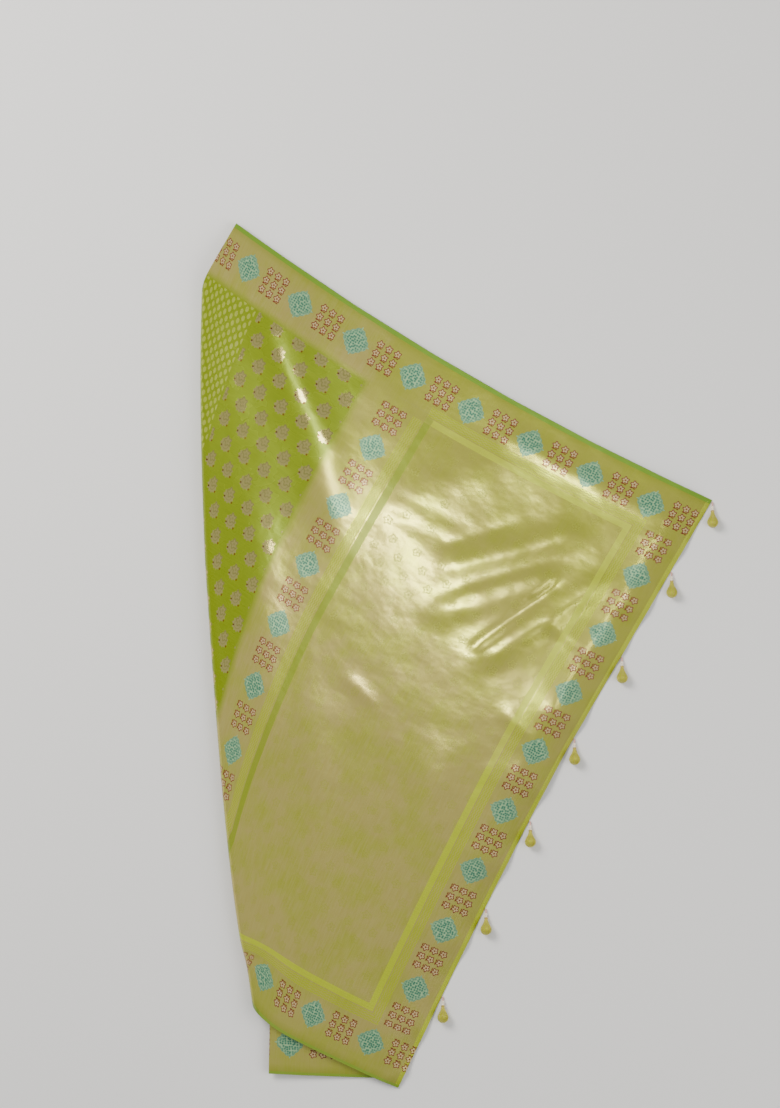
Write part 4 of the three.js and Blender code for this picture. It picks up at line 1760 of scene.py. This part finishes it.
@dataclass
class Studio:
    """The pale floor, the soft lights and the camera straight above the cloth."""

    cloth: SareeCloth
    view_reach_mm: float = 418.3  # as laid, like view_drop_mm
    view_drop_mm: float = 347.2
    view_turn: float = math.radians(30.2)
    view_height_mm: float = 1843.7
    lens_mm: float = 120.0
    sensor_mm: float = 36.0
    floor_half: float = 6.0
    floor_height: float = -0.0005
    sky: Colour = (0.9, 0.95, 1.0, 1.0)
    sky_strength: float = 0.55
    strips: tuple[GlintStrip, ...] = (
        GlintStrip(0.33, 0.085, 4.8, -36.0, (0.16, -0.03, 1.1)),  # over the panel
        GlintStrip(0.3, 0.075, 1.1, -57.5, (-0.102, 0.25, 0.5)),  # over the flower heads
        GlintStrip(0.24, 0.024, 0.3, 61.5, (0.472, -0.12, 0.5)),  # over the hem
    )

    def middle(self) -> Vector:
        """The point of the floor at the middle of the picture."""
        reach, drop = self.view_reach_mm * MM, self.view_drop_mm * MM
        return Vector((self.cloth.hem_x - reach, self.cloth.top_edge_y - drop, 0.0))

    def camera(self) -> bpy.types.Object:
        """Makes the camera, looking straight down.

        Returns:
            The camera's object.
        """
        data = bpy.data.cameras.new("camera")
        data.sensor_fit = "VERTICAL"
        data.sensor_width = data.sensor_height = self.sensor_mm
        data.lens = self.lens_mm
        camera = new_object("camera", data)
        distance = self.view_height_mm * self.lens_mm / self.sensor_mm * MM
        camera.location = self.middle() + Vector((0.0, 0.0, distance))
        camera.rotation_euler = (0.0, 0.0, self.view_turn)
        bpy.context.scene.camera = camera
        return camera

    def floor(self) -> bpy.types.Object:
        """Makes the plain pale floor.

        Returns:
            The floor's object.
        """
        mesh = bpy.data.meshes.new("floor")
        half = self.floor_half
        corners_at = [(-half, -half, 0), (half, -half, 0), (half, half, 0), (-half, half, 0)]
        mesh.from_pydata(corners_at, [], [(0, 1, 2, 3)])
        finish = Finish("floor_paint", Base_Color=linear(226, 222, 216), Roughness=0.8)
        mesh.materials.append(finish.material)
        floor = new_object("floor", mesh)
        floor.location = (0.0, 0.0, self.floor_height)
        return floor

    def light(
        self, name: str, turn: float, rise: float, away: float, size: float, power: float
    ) -> None:
        """Hangs a soft square light that faces the middle of the cloth and gives no glint.

        Args:
            name: the light's name.
            turn: its bearing in the picture, in degrees to the left from the top.
            rise: its height above the floor, in degrees.
            away: its distance, in metres.
            size: of its side, in metres.
            power: in watts.
        """
        data = bpy.data.lights.new(name, "AREA")
        data.shape = "SQUARE"
        data.size, data.energy = size, power
        light = new_object(name, data)
        bearing = math.radians(90.0 + turn) + self.view_turn
        up = math.radians(rise)
        out = math.cos(up)
        way = Vector((math.cos(bearing) * out, math.sin(bearing) * out, math.sin(up)))
        light.location = self.middle() + way * away
        light.rotation_euler = way.to_track_quat("Z", "Y").to_euler()
        light.visible_glossy = False

    def lights(self) -> None:
        """Hangs the key light, its fill and the strips, and makes the pale surroundings."""
        self.light("key_light", 50.0, 44.0, 3.6, 1.6, 165.0)
        self.light("fill_light", -110.0, 40.0, 4.0, 3.0, 90.0)
        for number, strip in enumerate(self.strips, start=1):
            strip.build(f"glint_strip_{number}", self.middle(), self.view_turn)
        world = bpy.data.worlds.new("studio")
        world.use_nodes = True
        background = world.node_tree.nodes["Background"]
        background.inputs["Color"].default_value = self.sky
        background.inputs["Strength"].default_value = self.sky_strength
        bpy.context.scene.world = world


def main() -> None:
    """Builds the studio, the cloth and what is sewn to it, and reports each piece."""
    logging.basicConfig(level=logging.INFO, format="%(message)s")
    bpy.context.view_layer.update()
    low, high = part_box("saree_cloth")
    plan = FoldPlan()
    cloth_plan = SareeCloth(plan, hem_x=high.x - plan.hem_lean * MM, top_edge_y=high.y)
    studio = Studio(cloth_plan)
    studio.camera()
    cloth = cloth_plan.build()
    silk = SilkWeave(WovenPattern(), SilkColours(), SilkSurface())
    cloth.data.materials.append(silk.material)
    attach(cloth, "root")
    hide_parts("saree_cloth")
    log.info("saree_cloth_woven: %d faces", len(cloth.data.polygons))
    tassels = TasselRow(cloth_plan).build()
    log.info("tassels: %d, of %d faces each", len(tassels), len(tassels[0].data.polygons))
    stitches = HemStitches(cloth_plan).build()
    log.info("hem_stitches: %d faces", len(stitches.data.polygons))
    studio.floor()
    studio.lights()


if __name__ == "__main__":
    main()
